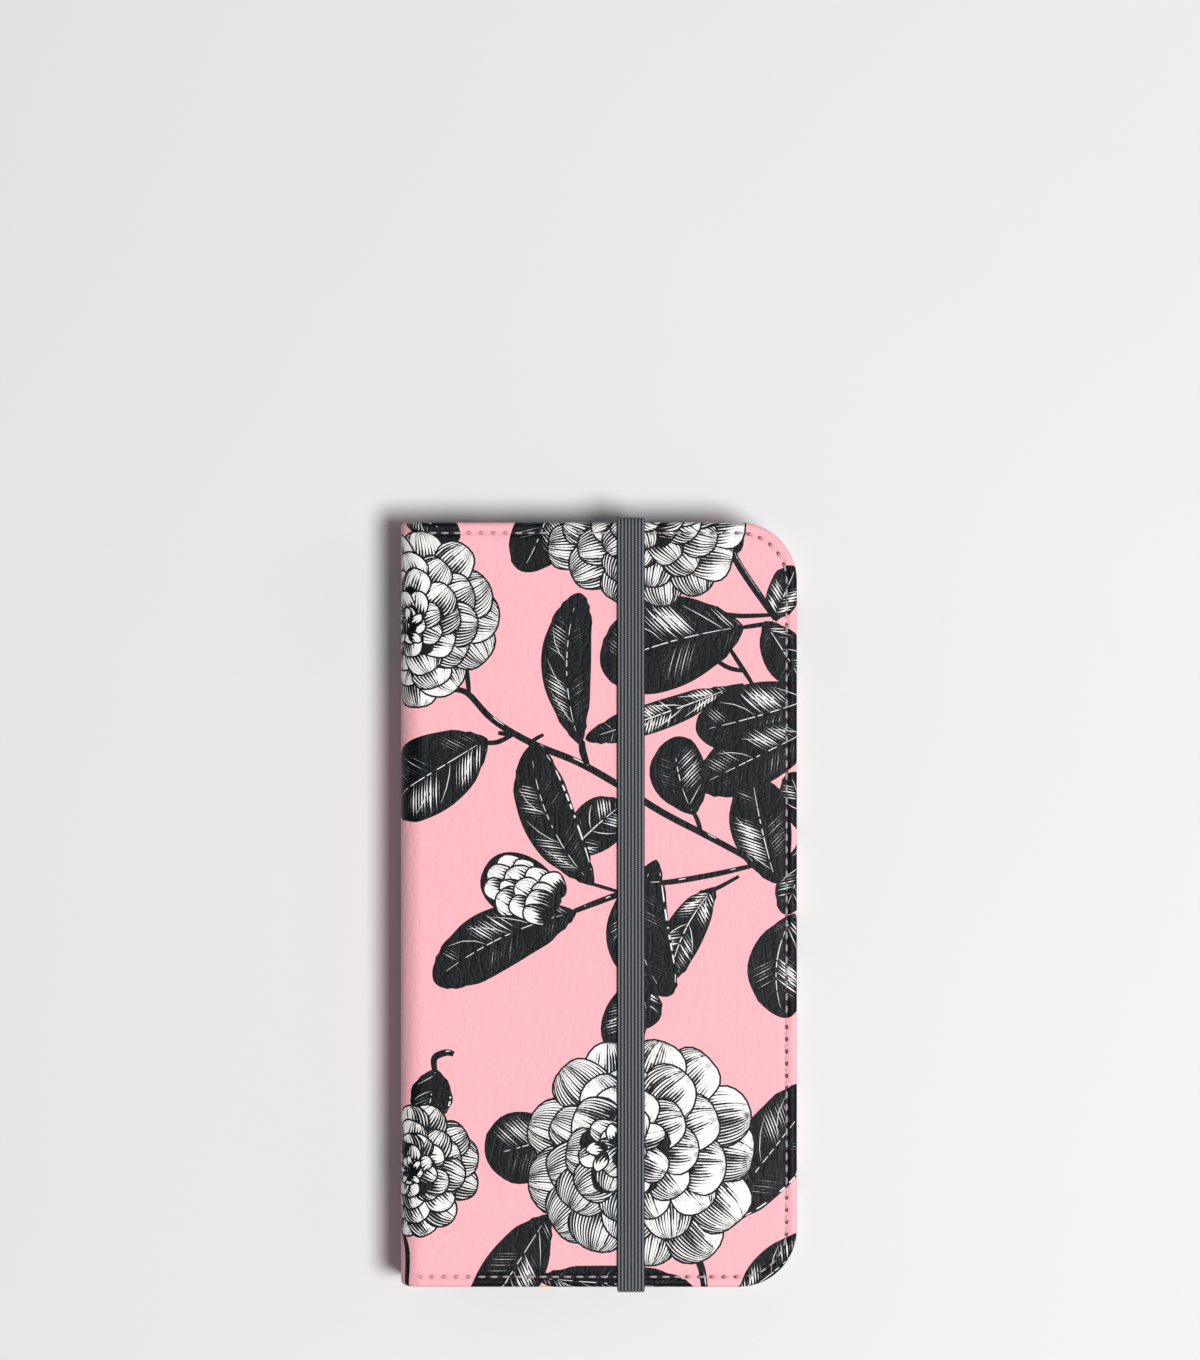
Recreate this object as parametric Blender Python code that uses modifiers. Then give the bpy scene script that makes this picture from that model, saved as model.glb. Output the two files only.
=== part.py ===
"""Folio phone case: a wrap of thin leather over boards that opens like a book around a snap-in phone shell.

Metres, +Z up. The case lies closed on its back. X runs from the spine to the opening edge, Y from the
bottom end to the top end, and the origin is the centre of its footprint. An elastic band holds it shut.
"""

from math import cos, pi, radians, sin

import bmesh
import bpy
from mathutils import Matrix, Vector

# The phone that the shell is moulded for
PHONE_WIDTH = 0.0671
PHONE_LENGTH = 0.1383
PHONE_THICKNESS = 0.0071
PHONE_CORNER = 0.0095

# Snap-in shell
PHONE_CLEARANCE = 0.0002
SHELL_WALL = 0.0012
SHELL_FLOOR = 0.0010
SHELL_LIP_HEIGHT = 0.0007
SHELL_LIP_REACH = 0.0006
SHELL_BASE_BEVEL = 0.0005
NOTCH_SILL = 0.0022
PORT_NOTCH_WIDTH = 0.044
VOLUME_NOTCH_WIDTH = 0.036
VOLUME_NOTCH_FROM_TOP = 0.019
POWER_NOTCH_WIDTH = 0.018
POWER_NOTCH_FROM_TOP = 0.028

# Camera window, measured from the phone's own top and opening side
CAMERA_WIDTH = 0.020
CAMERA_HEIGHT = 0.010
CAMERA_FROM_SIDE = 0.0025
CAMERA_FROM_TOP = 0.0025

# Wrap: layers from the outside in, and how far it stands out around the shell
SKIN = 0.0006
BOARD = 0.0008
LINING = 0.0004
LAYER_GAP = 0.0003
END_MARGIN = 0.00175
OPENING_MARGIN = 0.0019
SPINE_CLEARANCE = 0.0008
COVER_CORNER = 0.011
BOARD_INSET = 0.0032
SPINE_BOARD_INSET = 0.0008

# Seam along the three free edges of each cover
STITCH_INSET = 0.0020
THREAD_DIAMETER = 0.0005
SEAM_START = 0.0012

# Adhesive pad between the back lining and the shell
PAD_WIDTH = 0.052
PAD_THICKNESS = 0.0004
PAD_CORNER = 0.004
PAD_BAND_CLEARANCE = 0.002

# Card pockets inside the front cover
POCKETS = 3
POCKET_LEAF = 0.0004
POCKET_WIDTH = 0.0625
POCKET_SPINE_GAP = 0.0040
POCKET_BOTTOM_GAP = 0.0055
FIRST_POCKET_HEIGHT = 0.066
POCKET_STEP = 0.0145
POCKET_CORNER = 0.003

# Elastic band
BAND_WIDTH = 0.0052
BAND_THICKNESS = 0.0007
BAND_CENTRE = 0.0061
BAND_BEND = 0.0014
BAND_END_THICKNESS = 0.0004
BAND_END_LENGTH = 0.012

ARC_STEPS = 10
CUT_OVERSHOOT = 0.002

# Heights of the layers above the surface that the case lies on
WRAP = SKIN + BOARD + LINING + 2 * LAYER_GAP
PAD_BASE = WRAP + LAYER_GAP
SHELL_BASE = PAD_BASE + PAD_THICKNESS + LAYER_GAP
BAY_FLOOR = SHELL_BASE + SHELL_FLOOR
BAY_TOP = BAY_FLOOR + PHONE_THICKNESS + PHONE_CLEARANCE
SHELL_TOP = BAY_TOP + SHELL_LIP_HEIGHT
POCKET_BASE = SHELL_TOP + LAYER_GAP
COVER_BASE = POCKET_BASE + POCKETS * (POCKET_LEAF + LAYER_GAP)
CASE_TOP = COVER_BASE + WRAP

# Footprint, centred on the origin
BAY_WIDTH = PHONE_WIDTH + 2 * PHONE_CLEARANCE
BAY_LENGTH = PHONE_LENGTH + 2 * PHONE_CLEARANCE
SHELL_WIDTH = BAY_WIDTH + 2 * SHELL_WALL
SHELL_LENGTH = BAY_LENGTH + 2 * SHELL_WALL
CASE_WIDTH = WRAP + SPINE_CLEARANCE + SHELL_WIDTH + OPENING_MARGIN
CASE_LENGTH = SHELL_LENGTH + 2 * END_MARGIN
SPINE_X = -CASE_WIDTH / 2
OPENING_X = CASE_WIDTH / 2
END_Y = CASE_LENGTH / 2
SHELL_CENTRE_X = OPENING_X - OPENING_MARGIN - SHELL_WIDTH / 2

# Creases: the leather rolls round each outer corner about these centres
CREASE_RADIUS = WRAP + LAYER_GAP
CREASE_X = SPINE_X + CREASE_RADIUS
BACK_CREASE_Z = CREASE_RADIUS
FRONT_CREASE_Z = CASE_TOP - CREASE_RADIUS

# Fold lines: the covers turn about the inner face of the leather, so it neither stretches nor gathers
FOLD_X = SPINE_X + SKIN
BACK_FOLD_Z = SKIN
FRONT_FOLD_Z = CASE_TOP - SKIN

parts = None
cutters = None


def clear_scene():
    for old in list(bpy.data.objects):
        bpy.data.objects.remove(old)


def new_collection(name, hidden=False):
    made = bpy.data.collections.new(name)
    made.hide_render = hidden
    bpy.context.scene.collection.children.link(made)
    return made


def finish_with(piece, colour, roughness, metallic=0.0):
    """Gives a piece a material of its own."""
    made = bpy.data.materials.new(piece.name)
    made.use_nodes = True
    shader = made.node_tree.nodes["Principled BSDF"]
    shader.inputs["Base Color"].default_value = (*colour, 1.0)
    shader.inputs["Roughness"].default_value = roughness
    shader.inputs["Metallic"].default_value = metallic
    piece.data.materials.append(made)


def arc(centre, radius, start, end, steps=ARC_STEPS):
    """Points on a circle, angles in degrees."""
    turns = [radians(start + (end - start) * i / steps) for i in range(steps + 1)]
    return [(centre[0] + radius * cos(turn), centre[1] + radius * sin(turn)) for turn in turns]


def rounded_outline(width, length, spine_corner, opening_corner):
    """A rectangle about the origin, with one radius for its two spine corners and one for the other two."""
    outline = []
    corners = (
        (-1, -1, spine_corner, 180),
        (1, -1, opening_corner, 270),
        (1, 1, opening_corner, 0),
        (-1, 1, spine_corner, 90),
    )
    for side_x, side_y, radius, start in corners:
        corner = (side_x * (width / 2 - radius), side_y * (length / 2 - radius))
        if radius:
            outline += arc(corner, radius, start, start + 90)
        else:
            outline.append(corner)
    return outline


def curve_object(name, points, flat):
    made = bpy.data.curves.new(name, "CURVE")
    made.dimensions = "2D" if flat else "3D"
    spline = made.splines.new("POLY")
    spline.points.add(len(points) - 1)
    for spot, point in zip(spline.points, points):
        spot.co = (point[0], point[1], 0.0, 1.0)
    spline.use_cyclic_u = flat
    piece = bpy.data.objects.new(name, made)
    return piece


def extruded(name, outline, thickness, home=None):
    """A flat outline given a thickness, half above and half below it, as a closed mesh."""
    home = home or parts
    flat = curve_object(name, outline, flat=True)
    flat.data.fill_mode = "BOTH"
    flat.data.extrude = thickness / 2
    home.objects.link(flat)
    graph = bpy.context.evaluated_depsgraph_get()
    solid = bpy.data.meshes.new_from_object(flat.evaluated_get(graph))
    bpy.data.objects.remove(flat)
    welded = bmesh.new()
    welded.from_mesh(solid)
    bmesh.ops.remove_doubles(welded, verts=welded.verts, dist=0.000001)
    welded.to_mesh(solid)
    welded.free()
    solid.name = name
    piece = bpy.data.objects.new(name, solid)
    home.objects.link(piece)
    if home is cutters:
        piece.hide_render = True
        piece.display_type = "WIRE"
    return piece


def plate(name, low, high, spine_corner=0.0, opening_corner=0.0, home=None):
    """A rounded sheet between two opposite corners of its box."""
    low = Vector(low)
    high = Vector(high)
    size = high - low
    outline = rounded_outline(size.x, size.y, spine_corner, opening_corner)
    piece = extruded(name, outline, size.z, home)
    piece.location = (low + high) / 2
    return piece


def cut(piece, cutter):
    removal = piece.modifiers.new(cutter.name, "BOOLEAN")
    removal.operation = "DIFFERENCE"
    removal.object = cutter


def pivot(name, x, z):
    """An empty on the line that a body turns about or slides along."""
    made = bpy.data.objects.new(name, None)
    made.location = (x, 0.0, z)
    parts.objects.link(made)
    return made


def hang(piece, holder):
    """Parents a piece and leaves it where it stands."""
    piece.parent = holder
    piece.matrix_parent_inverse = Matrix.Translation(-holder.location)


def camera_cutter():
    right = SHELL_CENTRE_X + PHONE_WIDTH / 2 - CAMERA_FROM_SIDE
    top = PHONE_LENGTH / 2 - CAMERA_FROM_TOP
    return plate(
        "camera_window",
        (right - CAMERA_WIDTH, top - CAMERA_HEIGHT, -CUT_OVERSHOOT),
        (right, top, BAY_FLOOR + CUT_OVERSHOOT),
        CAMERA_HEIGHT / 2,
        CAMERA_HEIGHT / 2,
        cutters,
    )


def cover_skin(name, base):
    """Outer leather of a cover: a shallow tray whose rim is the turned edge around board and lining."""
    skin = plate(
        name,
        (CREASE_X + LAYER_GAP, -END_Y, base),
        (OPENING_X, END_Y, base + WRAP),
        opening_corner=COVER_CORNER,
    )
    inside = plate(
        name + "_inside",
        (CREASE_X - CUT_OVERSHOOT, -END_Y + SKIN, base + SKIN),
        (OPENING_X - SKIN, END_Y - SKIN, base + WRAP + CUT_OVERSHOOT),
        opening_corner=COVER_CORNER - SKIN,
        home=cutters,
    )
    cut(skin, inside)
    return skin, inside


def cover_layer(name, base, thickness, inset):
    """Board or lining of a cover, inset from the free edges."""
    return plate(
        name,
        (CREASE_X + LAYER_GAP, -END_Y + inset, base),
        (OPENING_X - inset, END_Y - inset, base + thickness),
        opening_corner=max(COVER_CORNER - inset, SKIN),
    )


def crease(name, height, start):
    """Leather rolled round one edge of the spine, a quarter turn."""
    outline = arc((0.0, 0.0), CREASE_RADIUS, start, start + 90)
    outline += arc((0.0, 0.0), CREASE_RADIUS - SKIN, start + 90, start)
    roll = extruded(name, outline, CASE_LENGTH)
    roll.location = (CREASE_X, 0.0, height)
    roll.rotation_euler = (pi / 2, 0.0, 0.0)
    finish_with(roll, (0.93, 0.53, 0.58), 0.55)
    return roll


def seam_thread(name, height):
    """Sewing thread along the free edges of a cover, inside its turned rim."""
    start_x = CREASE_X + SEAM_START
    end_y = END_Y - STITCH_INSET
    edge_x = OPENING_X - STITCH_INSET
    bend = COVER_CORNER - STITCH_INSET
    route = [(start_x, -end_y)]
    route += arc((edge_x - bend, -end_y + bend), bend, 270, 360)
    route += arc((edge_x - bend, end_y - bend), bend, 0, 90)
    route += [(start_x, end_y)]
    thread = curve_object(name, route, flat=False)
    thread.data.bevel_depth = THREAD_DIAMETER / 2
    thread.data.bevel_resolution = 2
    thread.data.use_fill_caps = True
    thread.location = (0.0, 0.0, height)
    parts.objects.link(thread)
    finish_with(thread, (0.95, 0.66, 0.70), 0.6)
    return thread


def upright_sheet(name, depth, thickness, height_inset, end_inset):
    """A sheet of the spine, standing at a depth behind the spine's outer face."""
    height = FRONT_CREASE_Z - BACK_CREASE_Z - 2 * height_inset
    sheet = extruded(name, rounded_outline(height, CASE_LENGTH - 2 * end_inset, 0.0, 0.0), thickness)
    sheet.location = (SPINE_X + depth + thickness / 2, 0.0, CASE_TOP / 2)
    sheet.rotation_euler = (0.0, pi / 2, 0.0)
    return sheet


def make_back_cover(window):
    skin, _ = cover_skin("back_skin", 0.0)
    finish_with(skin, (0.93, 0.53, 0.58), 0.55)
    board = cover_layer("back_board", SKIN + LAYER_GAP, BOARD, BOARD_INSET)
    finish_with(board, (0.42, 0.38, 0.33), 0.9)
    lining = cover_layer("back_lining", WRAP - LINING, LINING, SKIN + LAYER_GAP)
    finish_with(lining, (0.05, 0.05, 0.055), 0.8)
    for layer in (skin, board, lining):
        cut(layer, window)
    crease("back_crease", BACK_CREASE_Z, 180)
    seam_thread("back_seam_thread", (SKIN + WRAP - LINING) / 2)


def make_adhesive_pad():
    reach = END_Y - BAND_END_LENGTH - END_MARGIN - PAD_BAND_CLEARANCE
    pad = plate(
        "adhesive_pad",
        (SHELL_CENTRE_X - PAD_WIDTH / 2, -reach, PAD_BASE),
        (SHELL_CENTRE_X + PAD_WIDTH / 2, reach, PAD_BASE + PAD_THICKNESS),
        PAD_CORNER,
        PAD_CORNER,
    )
    finish_with(pad, (0.8, 0.8, 0.78), 0.7)


def notch_cutter(name, centre, size_x, size_y):
    """A cutter that opens the shell's wall from its rim down to a sill above the floor."""
    sill = BAY_FLOOR + NOTCH_SILL
    half = Vector((size_x / 2, size_y / 2, 0.0))
    foot = Vector((*centre, sill))
    crown = Vector((*centre, SHELL_TOP + CUT_OVERSHOOT))
    return plate(name, foot - half, crown + half, home=cutters)


def make_phone_shell(window):
    half_width = SHELL_WIDTH / 2
    half_length = SHELL_LENGTH / 2
    shell = plate(
        "phone_shell",
        (SHELL_CENTRE_X - half_width, -half_length, SHELL_BASE),
        (SHELL_CENTRE_X + half_width, half_length, SHELL_TOP),
        PHONE_CORNER + PHONE_CLEARANCE + SHELL_WALL,
        PHONE_CORNER + PHONE_CLEARANCE + SHELL_WALL,
    )
    softened = shell.modifiers.new("softened_edges", "BEVEL")
    softened.width = SHELL_BASE_BEVEL
    softened.segments = 2
    softened.limit_method = "ANGLE"
    softened.angle_limit = radians(60)
    bay = plate(
        "phone_bay",
        (SHELL_CENTRE_X - BAY_WIDTH / 2, -BAY_LENGTH / 2, BAY_FLOOR),
        (SHELL_CENTRE_X + BAY_WIDTH / 2, BAY_LENGTH / 2, BAY_TOP),
        PHONE_CORNER + PHONE_CLEARANCE,
        PHONE_CORNER + PHONE_CLEARANCE,
        cutters,
    )
    mouth_width = BAY_WIDTH / 2 - SHELL_LIP_REACH
    mouth_length = BAY_LENGTH / 2 - SHELL_LIP_REACH
    mouth = plate(
        "shell_mouth",
        (SHELL_CENTRE_X - mouth_width, -mouth_length, BAY_FLOOR + PHONE_THICKNESS / 2),
        (SHELL_CENTRE_X + mouth_width, mouth_length, SHELL_TOP + CUT_OVERSHOOT),
        PHONE_CORNER,
        PHONE_CORNER,
        cutters,
    )
    wall_reach = 2 * SHELL_WALL + 2 * SHELL_LIP_REACH + CUT_OVERSHOOT
    top = PHONE_LENGTH / 2
    volume_y = top - VOLUME_NOTCH_FROM_TOP - VOLUME_NOTCH_WIDTH / 2
    power_y = top - POWER_NOTCH_FROM_TOP - POWER_NOTCH_WIDTH / 2
    notches = (
        notch_cutter("port_notch", (SHELL_CENTRE_X, -half_length), PORT_NOTCH_WIDTH, wall_reach),
        notch_cutter("volume_notch", (SHELL_CENTRE_X - half_width, volume_y), wall_reach, VOLUME_NOTCH_WIDTH),
        notch_cutter("power_notch", (SHELL_CENTRE_X + half_width, power_y), wall_reach, POWER_NOTCH_WIDTH),
    )
    for cutter in (bay, mouth, window, *notches):
        cut(shell, cutter)
    finish_with(shell, (0.03, 0.03, 0.035), 0.35)


def make_spine(hinge):
    skin = upright_sheet("spine_skin", 0.0, SKIN, LAYER_GAP, 0.0)
    finish_with(skin, (0.93, 0.53, 0.58), 0.55)
    board = upright_sheet("spine_board", SKIN + LAYER_GAP, BOARD, SPINE_BOARD_INSET, BOARD_INSET)
    finish_with(board, (0.42, 0.38, 0.33), 0.9)
    lining = upright_sheet("spine_lining", WRAP - LINING, LINING, LAYER_GAP, SKIN + LAYER_GAP)
    finish_with(lining, (0.05, 0.05, 0.055), 0.8)
    for sheet in (skin, board, lining):
        hang(sheet, hinge)


def make_front_cover(hinge):
    skin, inside = cover_skin("front_skin", COVER_BASE)
    finish_with(skin, (0.93, 0.53, 0.58), 0.55)
    for tray in (skin, inside):
        tray.rotation_euler = (pi, 0.0, 0.0)
    inside.location.z -= SKIN + CUT_OVERSHOOT
    board = cover_layer("front_board", CASE_TOP - SKIN - LAYER_GAP - BOARD, BOARD, BOARD_INSET)
    finish_with(board, (0.42, 0.38, 0.33), 0.9)
    lining = cover_layer("front_lining", COVER_BASE, LINING, SKIN + LAYER_GAP)
    finish_with(lining, (0.05, 0.05, 0.055), 0.8)
    thread = seam_thread("front_seam_thread", CASE_TOP - (SKIN + WRAP - LINING) / 2)
    for piece in (skin, inside, board, lining, crease("front_crease", FRONT_CREASE_Z, 90), thread):
        hang(piece, hinge)


def make_card_pockets(hinge):
    """Leaves sewn one over another on the front lining, each lower than the one behind it."""
    spine_side = CREASE_X + POCKET_SPINE_GAP
    foot = -END_Y + POCKET_BOTTOM_GAP
    for slot in range(POCKETS):
        base = POCKET_BASE + slot * (POCKET_LEAF + LAYER_GAP)
        leaf = plate(
            f"card_pocket_{slot + 1}",
            (spine_side, foot, base),
            (spine_side + POCKET_WIDTH, foot + FIRST_POCKET_HEIGHT + slot * POCKET_STEP, base + POCKET_LEAF),
            POCKET_CORNER,
            POCKET_CORNER,
        )
        finish_with(leaf, (0.06, 0.06, 0.065), 0.7)
        hang(leaf, hinge)


def staple_outline(half_span, foot, top, thickness, bend):
    """A flat strip bent down at both ends: outside edge first, then back along the inside."""
    outline = [(half_span, foot)]
    outline += arc((half_span - bend, top - bend), bend, 0, 90)
    outline += arc((bend - half_span, top - bend), bend, 90, 180)
    outline += [(-half_span, foot), (thickness - half_span, foot)]
    outline += arc((bend - half_span, top - bend), bend - thickness, 180, 90)
    outline += arc((half_span - bend, top - bend), bend - thickness, 90, 0)
    outline += [(half_span - thickness, foot)]
    return outline


def make_elastic(holder):
    reach = END_Y + LAYER_GAP + BAND_THICKNESS
    top = CASE_TOP + LAYER_GAP + BAND_THICKNESS
    foot = PAD_BASE + BAND_END_THICKNESS + LAYER_GAP
    outline = staple_outline(reach, 0.0, top - foot, BAND_THICKNESS, BAND_BEND)
    band = extruded("elastic_band", outline, BAND_WIDTH)
    band.location = (BAND_CENTRE, 0.0, foot)
    band.rotation_euler = (pi / 2, 0.0, pi / 2)
    finish_with(band, (0.12, 0.14, 0.17), 0.8)
    hang(band, holder)
    low = END_Y - END_MARGIN - BAND_END_LENGTH
    for name, ends in (("elastic_end_top", (low, reach)), ("elastic_end_bottom", (-reach, -low))):
        tail = plate(
            name,
            (BAND_CENTRE - BAND_WIDTH / 2, ends[0], PAD_BASE),
            (BAND_CENTRE + BAND_WIDTH / 2, ends[1], PAD_BASE + BAND_END_THICKNESS),
        )
        finish_with(tail, (0.12, 0.14, 0.17), 0.8)


clear_scene()
parts = new_collection("folio_phone_case")
cutters = new_collection("cutters", hidden=True)
window = camera_cutter()
make_back_cover(window)
make_adhesive_pad()
make_phone_shell(window)
make_spine(pivot("spine_fold", FOLD_X, BACK_FOLD_Z))
cover_hinge = pivot("cover_fold", FOLD_X, FRONT_FOLD_Z)
make_front_cover(cover_hinge)
make_card_pockets(cover_hinge)
make_elastic(pivot("strap_release", BAND_CENTRE, CASE_TOP + LAYER_GAP + BAND_THICKNESS / 2))
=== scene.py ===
"""Looks of a folio phone case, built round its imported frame.

The covers are thin printed leather wrapped over boards, sewn along three edges, with a ribbed elastic band
round the middle, black linings, three card pockets and a snap-in shell. The print is drawn from formulas for
petals, leaves and stems on the unrolled leather. Sizes are in millimetres: MM turns them into the metres of
the frame, the meshes and the properties. The stage alone is set out in metres.
"""

import random
from math import ceil, cos, hypot, pi, sin

import bmesh
import bpy
import numpy as np
from bpy.props import FloatProperty, FloatVectorProperty, IntProperty, PointerProperty
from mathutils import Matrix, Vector
from mathutils.geometry import delaunay_2d_cdt


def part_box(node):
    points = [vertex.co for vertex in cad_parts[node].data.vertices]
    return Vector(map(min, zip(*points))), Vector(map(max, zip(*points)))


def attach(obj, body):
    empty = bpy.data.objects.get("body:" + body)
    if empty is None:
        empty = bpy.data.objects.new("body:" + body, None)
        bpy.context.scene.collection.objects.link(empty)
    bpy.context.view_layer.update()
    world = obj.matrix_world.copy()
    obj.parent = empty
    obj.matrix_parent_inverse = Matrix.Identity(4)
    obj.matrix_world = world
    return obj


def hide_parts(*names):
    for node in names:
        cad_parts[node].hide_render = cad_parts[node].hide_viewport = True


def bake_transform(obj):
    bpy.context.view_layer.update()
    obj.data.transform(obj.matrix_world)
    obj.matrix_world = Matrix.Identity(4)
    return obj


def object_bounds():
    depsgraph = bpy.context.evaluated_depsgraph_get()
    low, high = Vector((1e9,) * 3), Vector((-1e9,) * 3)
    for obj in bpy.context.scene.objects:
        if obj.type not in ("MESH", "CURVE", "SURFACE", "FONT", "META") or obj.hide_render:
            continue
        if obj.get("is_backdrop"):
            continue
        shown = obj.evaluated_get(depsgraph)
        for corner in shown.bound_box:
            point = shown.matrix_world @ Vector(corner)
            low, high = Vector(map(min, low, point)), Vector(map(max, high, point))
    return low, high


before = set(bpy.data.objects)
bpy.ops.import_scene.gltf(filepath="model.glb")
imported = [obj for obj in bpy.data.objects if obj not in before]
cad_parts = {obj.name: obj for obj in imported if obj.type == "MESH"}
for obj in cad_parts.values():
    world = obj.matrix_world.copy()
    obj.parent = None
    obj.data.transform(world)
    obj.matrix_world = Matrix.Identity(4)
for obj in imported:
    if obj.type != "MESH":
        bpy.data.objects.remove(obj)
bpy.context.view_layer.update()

bl_info = {
    "name": "Folio Phone Case",
    "version": (1, 0, 0),
    "blender": (4, 5, 0),
    "location": "View3D > Sidebar > Folio Case",
    "description": "Builds the printed leather, seams, elastic and inside of a folio phone case",
    "category": "Object",
}

MM = 0.001

# Places that the frame gives, in millimetres
SPINE_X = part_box("spine_skin")[0].x / MM
OPENING_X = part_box("front_skin")[1].x / MM
END_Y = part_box("front_skin")[1].y / MM
CASE_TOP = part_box("front_skin")[1].z / MM
COVER_DEPTH = CASE_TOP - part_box("front_skin")[0].z / MM
FOLD_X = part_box("front_crease")[1].x / MM
FOLD_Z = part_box("front_crease")[0].z / MM
LINING_INSET = OPENING_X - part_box("front_lining")[1].x / MM
LINING_THICKNESS = (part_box("front_lining")[1].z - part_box("front_lining")[0].z) / MM
BAND_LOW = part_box("elastic_band")[0] / MM
BAND_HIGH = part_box("elastic_band")[1] / MM
TAIL_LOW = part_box("elastic_end_top")[0] / MM
TAIL_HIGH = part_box("elastic_end_top")[1] / MM

# The leather rolls from the spine on to a cover with this radius, clear of the boards' edges
ROLL = 4.2
ROLL_LENGTH = ROLL * pi / 2
CREASE_X = SPINE_X + ROLL
CREASE_Z = CASE_TOP - ROLL

# How far along the unrolled leather the middle of the spine lies, and where the seams start
MID_SPINE = CREASE_X - ROLL_LENGTH - (CREASE_Z - CASE_TOP / 2)
SEAM_START = CREASE_X - 0.4
SEAM_HALF_WIDTH = 0.5
FRONT, BACK = 1, -1

# Half-length of the stretch over which a seam's groove fades in, and "nowhere near the seam"
SEAM_FADE = 1.0
FAR = 9.0

# Stitches: the share of the pitch that shows, and how far the thread rises and dives, in thread radii
STITCH_SHARE = 0.7
STITCH_RISE = 2.1
STITCH_DIVE = 1.5

# Linings: roll of the edge on the shown side and under it, and spacing of the mesh
LINING_SOFT = 0.16
LINING_UNDER = 0.02
LINING_STEP = 1.6

# Card pockets: corner, edge radius, how much the hem is thicker underneath, and the place of their stitches
POCKETS = (1, 2, 3)
POCKET_CORNER = 3.0
POCKET_EDGE = 0.12
HEM_STAND = 0.06
POCKET_SEAM_INSET = 1.5
POCKET_PITCH = 1.9
POCKET_THREAD_SHARE = 0.55

# Elastic: bends over the cover and under the case, gap under the band, and depth of a groove in thicknesses
BAND_HIGH_BEND = 1.4
BAND_LOW_BEND = 0.95
BAND_GAP = 0.3
GROOVE_SHARE = 0.34

# Width that the camera's lens is reckoned for
SENSOR = 36.0


# ---------------------------------------------------------------- sizes and colours

def size(name, description, default):
    """A length in metres whose default is given in millimetres."""
    return FloatProperty(
        name=name, description=description, default=default * MM, unit="LENGTH", precision=5
    )


def colour(name, description, default):
    return FloatVectorProperty(
        name=name, description=description, default=default, size=3, subtype="COLOR", min=0.0, max=1.0
    )


class FolioLeather(bpy.types.PropertyGroup):
    """Printed leather of the two covers and the spine."""

    corner: size("Cover Corner", "Radius of the two round corners at the opening edge", 11.0)
    thickness: size("Thickness", "Thickness of the leather", 0.5)
    soft_edge: size("Edge Radius", "Roll of the leather over the edge of the board", 0.95)
    under_edge: size("Under Edge Radius", "Roll of the leather under the board", 0.6)
    mesh_step: size("Mesh Step", "Spacing of the points on the panels", 0.95)
    grain: size("Grain", "Width of one pebble of the embossed grain", 0.62)
    ground: colour("Ground", "Pink that the print lies on", (0.965, 0.475, 0.525))
    ink: colour("Ink", "Black of the print", (0.0022, 0.0042, 0.006))
    paper: colour("Petal White", "White of the petals", (0.93, 0.92, 0.91))


class FolioPrint(bpy.types.PropertyGroup):
    """How the flowers and leaves are drawn."""

    line: size("Line", "Width of a petal's outline", 0.34)
    petal_hatch: size("Petal Hatch", "Spacing of the shading lines on a petal", 0.52)
    leaf_hatch: size("Leaf Hatch", "Spacing of the light strokes on a leaf", 0.64)
    seed: IntProperty(name="Seed", description="Varies the petals of each flower", default=7)


class FolioSeam(bpy.types.PropertyGroup):
    """Stitching along the free edges."""

    inset: size("Inset", "Distance of the seam from the edge", 2.0)
    pitch: size("Pitch", "Length of one stitch and its gap", 2.3)
    thread: size("Thread Radius", "Radius of the sewing thread", 0.23)
    groove: size("Groove", "How far the seam sinks into the leather", 0.26)
    on_ground: colour("Thread", "Thread where it crosses the pink", (0.95, 0.5, 0.55))
    # Over the black the thread is given a pale grey, a painted highlight that stands in for its sheen
    on_ink_sheen: colour("Thread On Ink", "Thread where it crosses the black, with its sheen", (0.5, 0.53, 0.56))
    inner: colour("Inner Thread", "Thread on the linings and pockets", (0.17, 0.17, 0.18))


class FolioElastic(bpy.types.PropertyGroup):
    """Ribbed elastic band."""

    ribs: IntProperty(name="Cords", description="Rubber cords side by side", default=8, min=3)
    # The cord colour carries a painted highlight on the crests, and the gap colour is painted shade between
    # the cords
    cord: colour("Cord", "Crest of a cord", (0.2, 0.212, 0.232))
    gap: colour("Gap", "Yarn between two cords", (0.011, 0.012, 0.014))


class FolioInside(bpy.types.PropertyGroup):
    """Linings, card pockets, boards, pad and shell."""

    lining: colour("Lining", "Fine-grained lining leather", (0.03, 0.03, 0.034))
    pocket: colour("Pocket", "Leather of the card pockets", (0.038, 0.038, 0.043))
    board: colour("Board", "Pressed fibre board", (0.36, 0.3, 0.23))
    foam: colour("Foam", "Adhesive pad", (0.72, 0.71, 0.68))
    shell: colour("Shell", "Moulded shell", (0.02, 0.02, 0.022))
    hem: size("Pocket Hem", "Width of the folded top edge of a pocket", 3.2)


class FolioStage(bpy.types.PropertyGroup):
    """Floor, light and camera."""

    floor: colour("Floor", "Pale matte floor", (0.80, 0.80, 0.805))
    height: size("Camera Height", "Height of the camera over the floor", 917.0)
    offset_x: size("Camera X", "How far right of the case's centre the camera stands", 0.25)
    offset_y: size("Camera Y", "How far above the case's centre the camera stands", 42.5)
    framed: size("Framed Length", "Length that the frame's long side takes in at the cover's height", 257.0)
    key: FloatProperty(name="Key Light", description="Power of the large soft light", default=24.8, min=0.0)
    sky: FloatProperty(
        name="Sky", description="Strength of the even light all round", default=0.13, min=0.0
    )


SETTINGS = {
    "folio_leather": FolioLeather,
    "folio_print": FolioPrint,
    "folio_seam": FolioSeam,
    "folio_elastic": FolioElastic,
    "folio_inside": FolioInside,
    "folio_stage": FolioStage,
}


def sizes(group, *names):
    """Sizes of a property group, in millimetres."""
    return [getattr(group, name) / MM for name in names]


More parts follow.
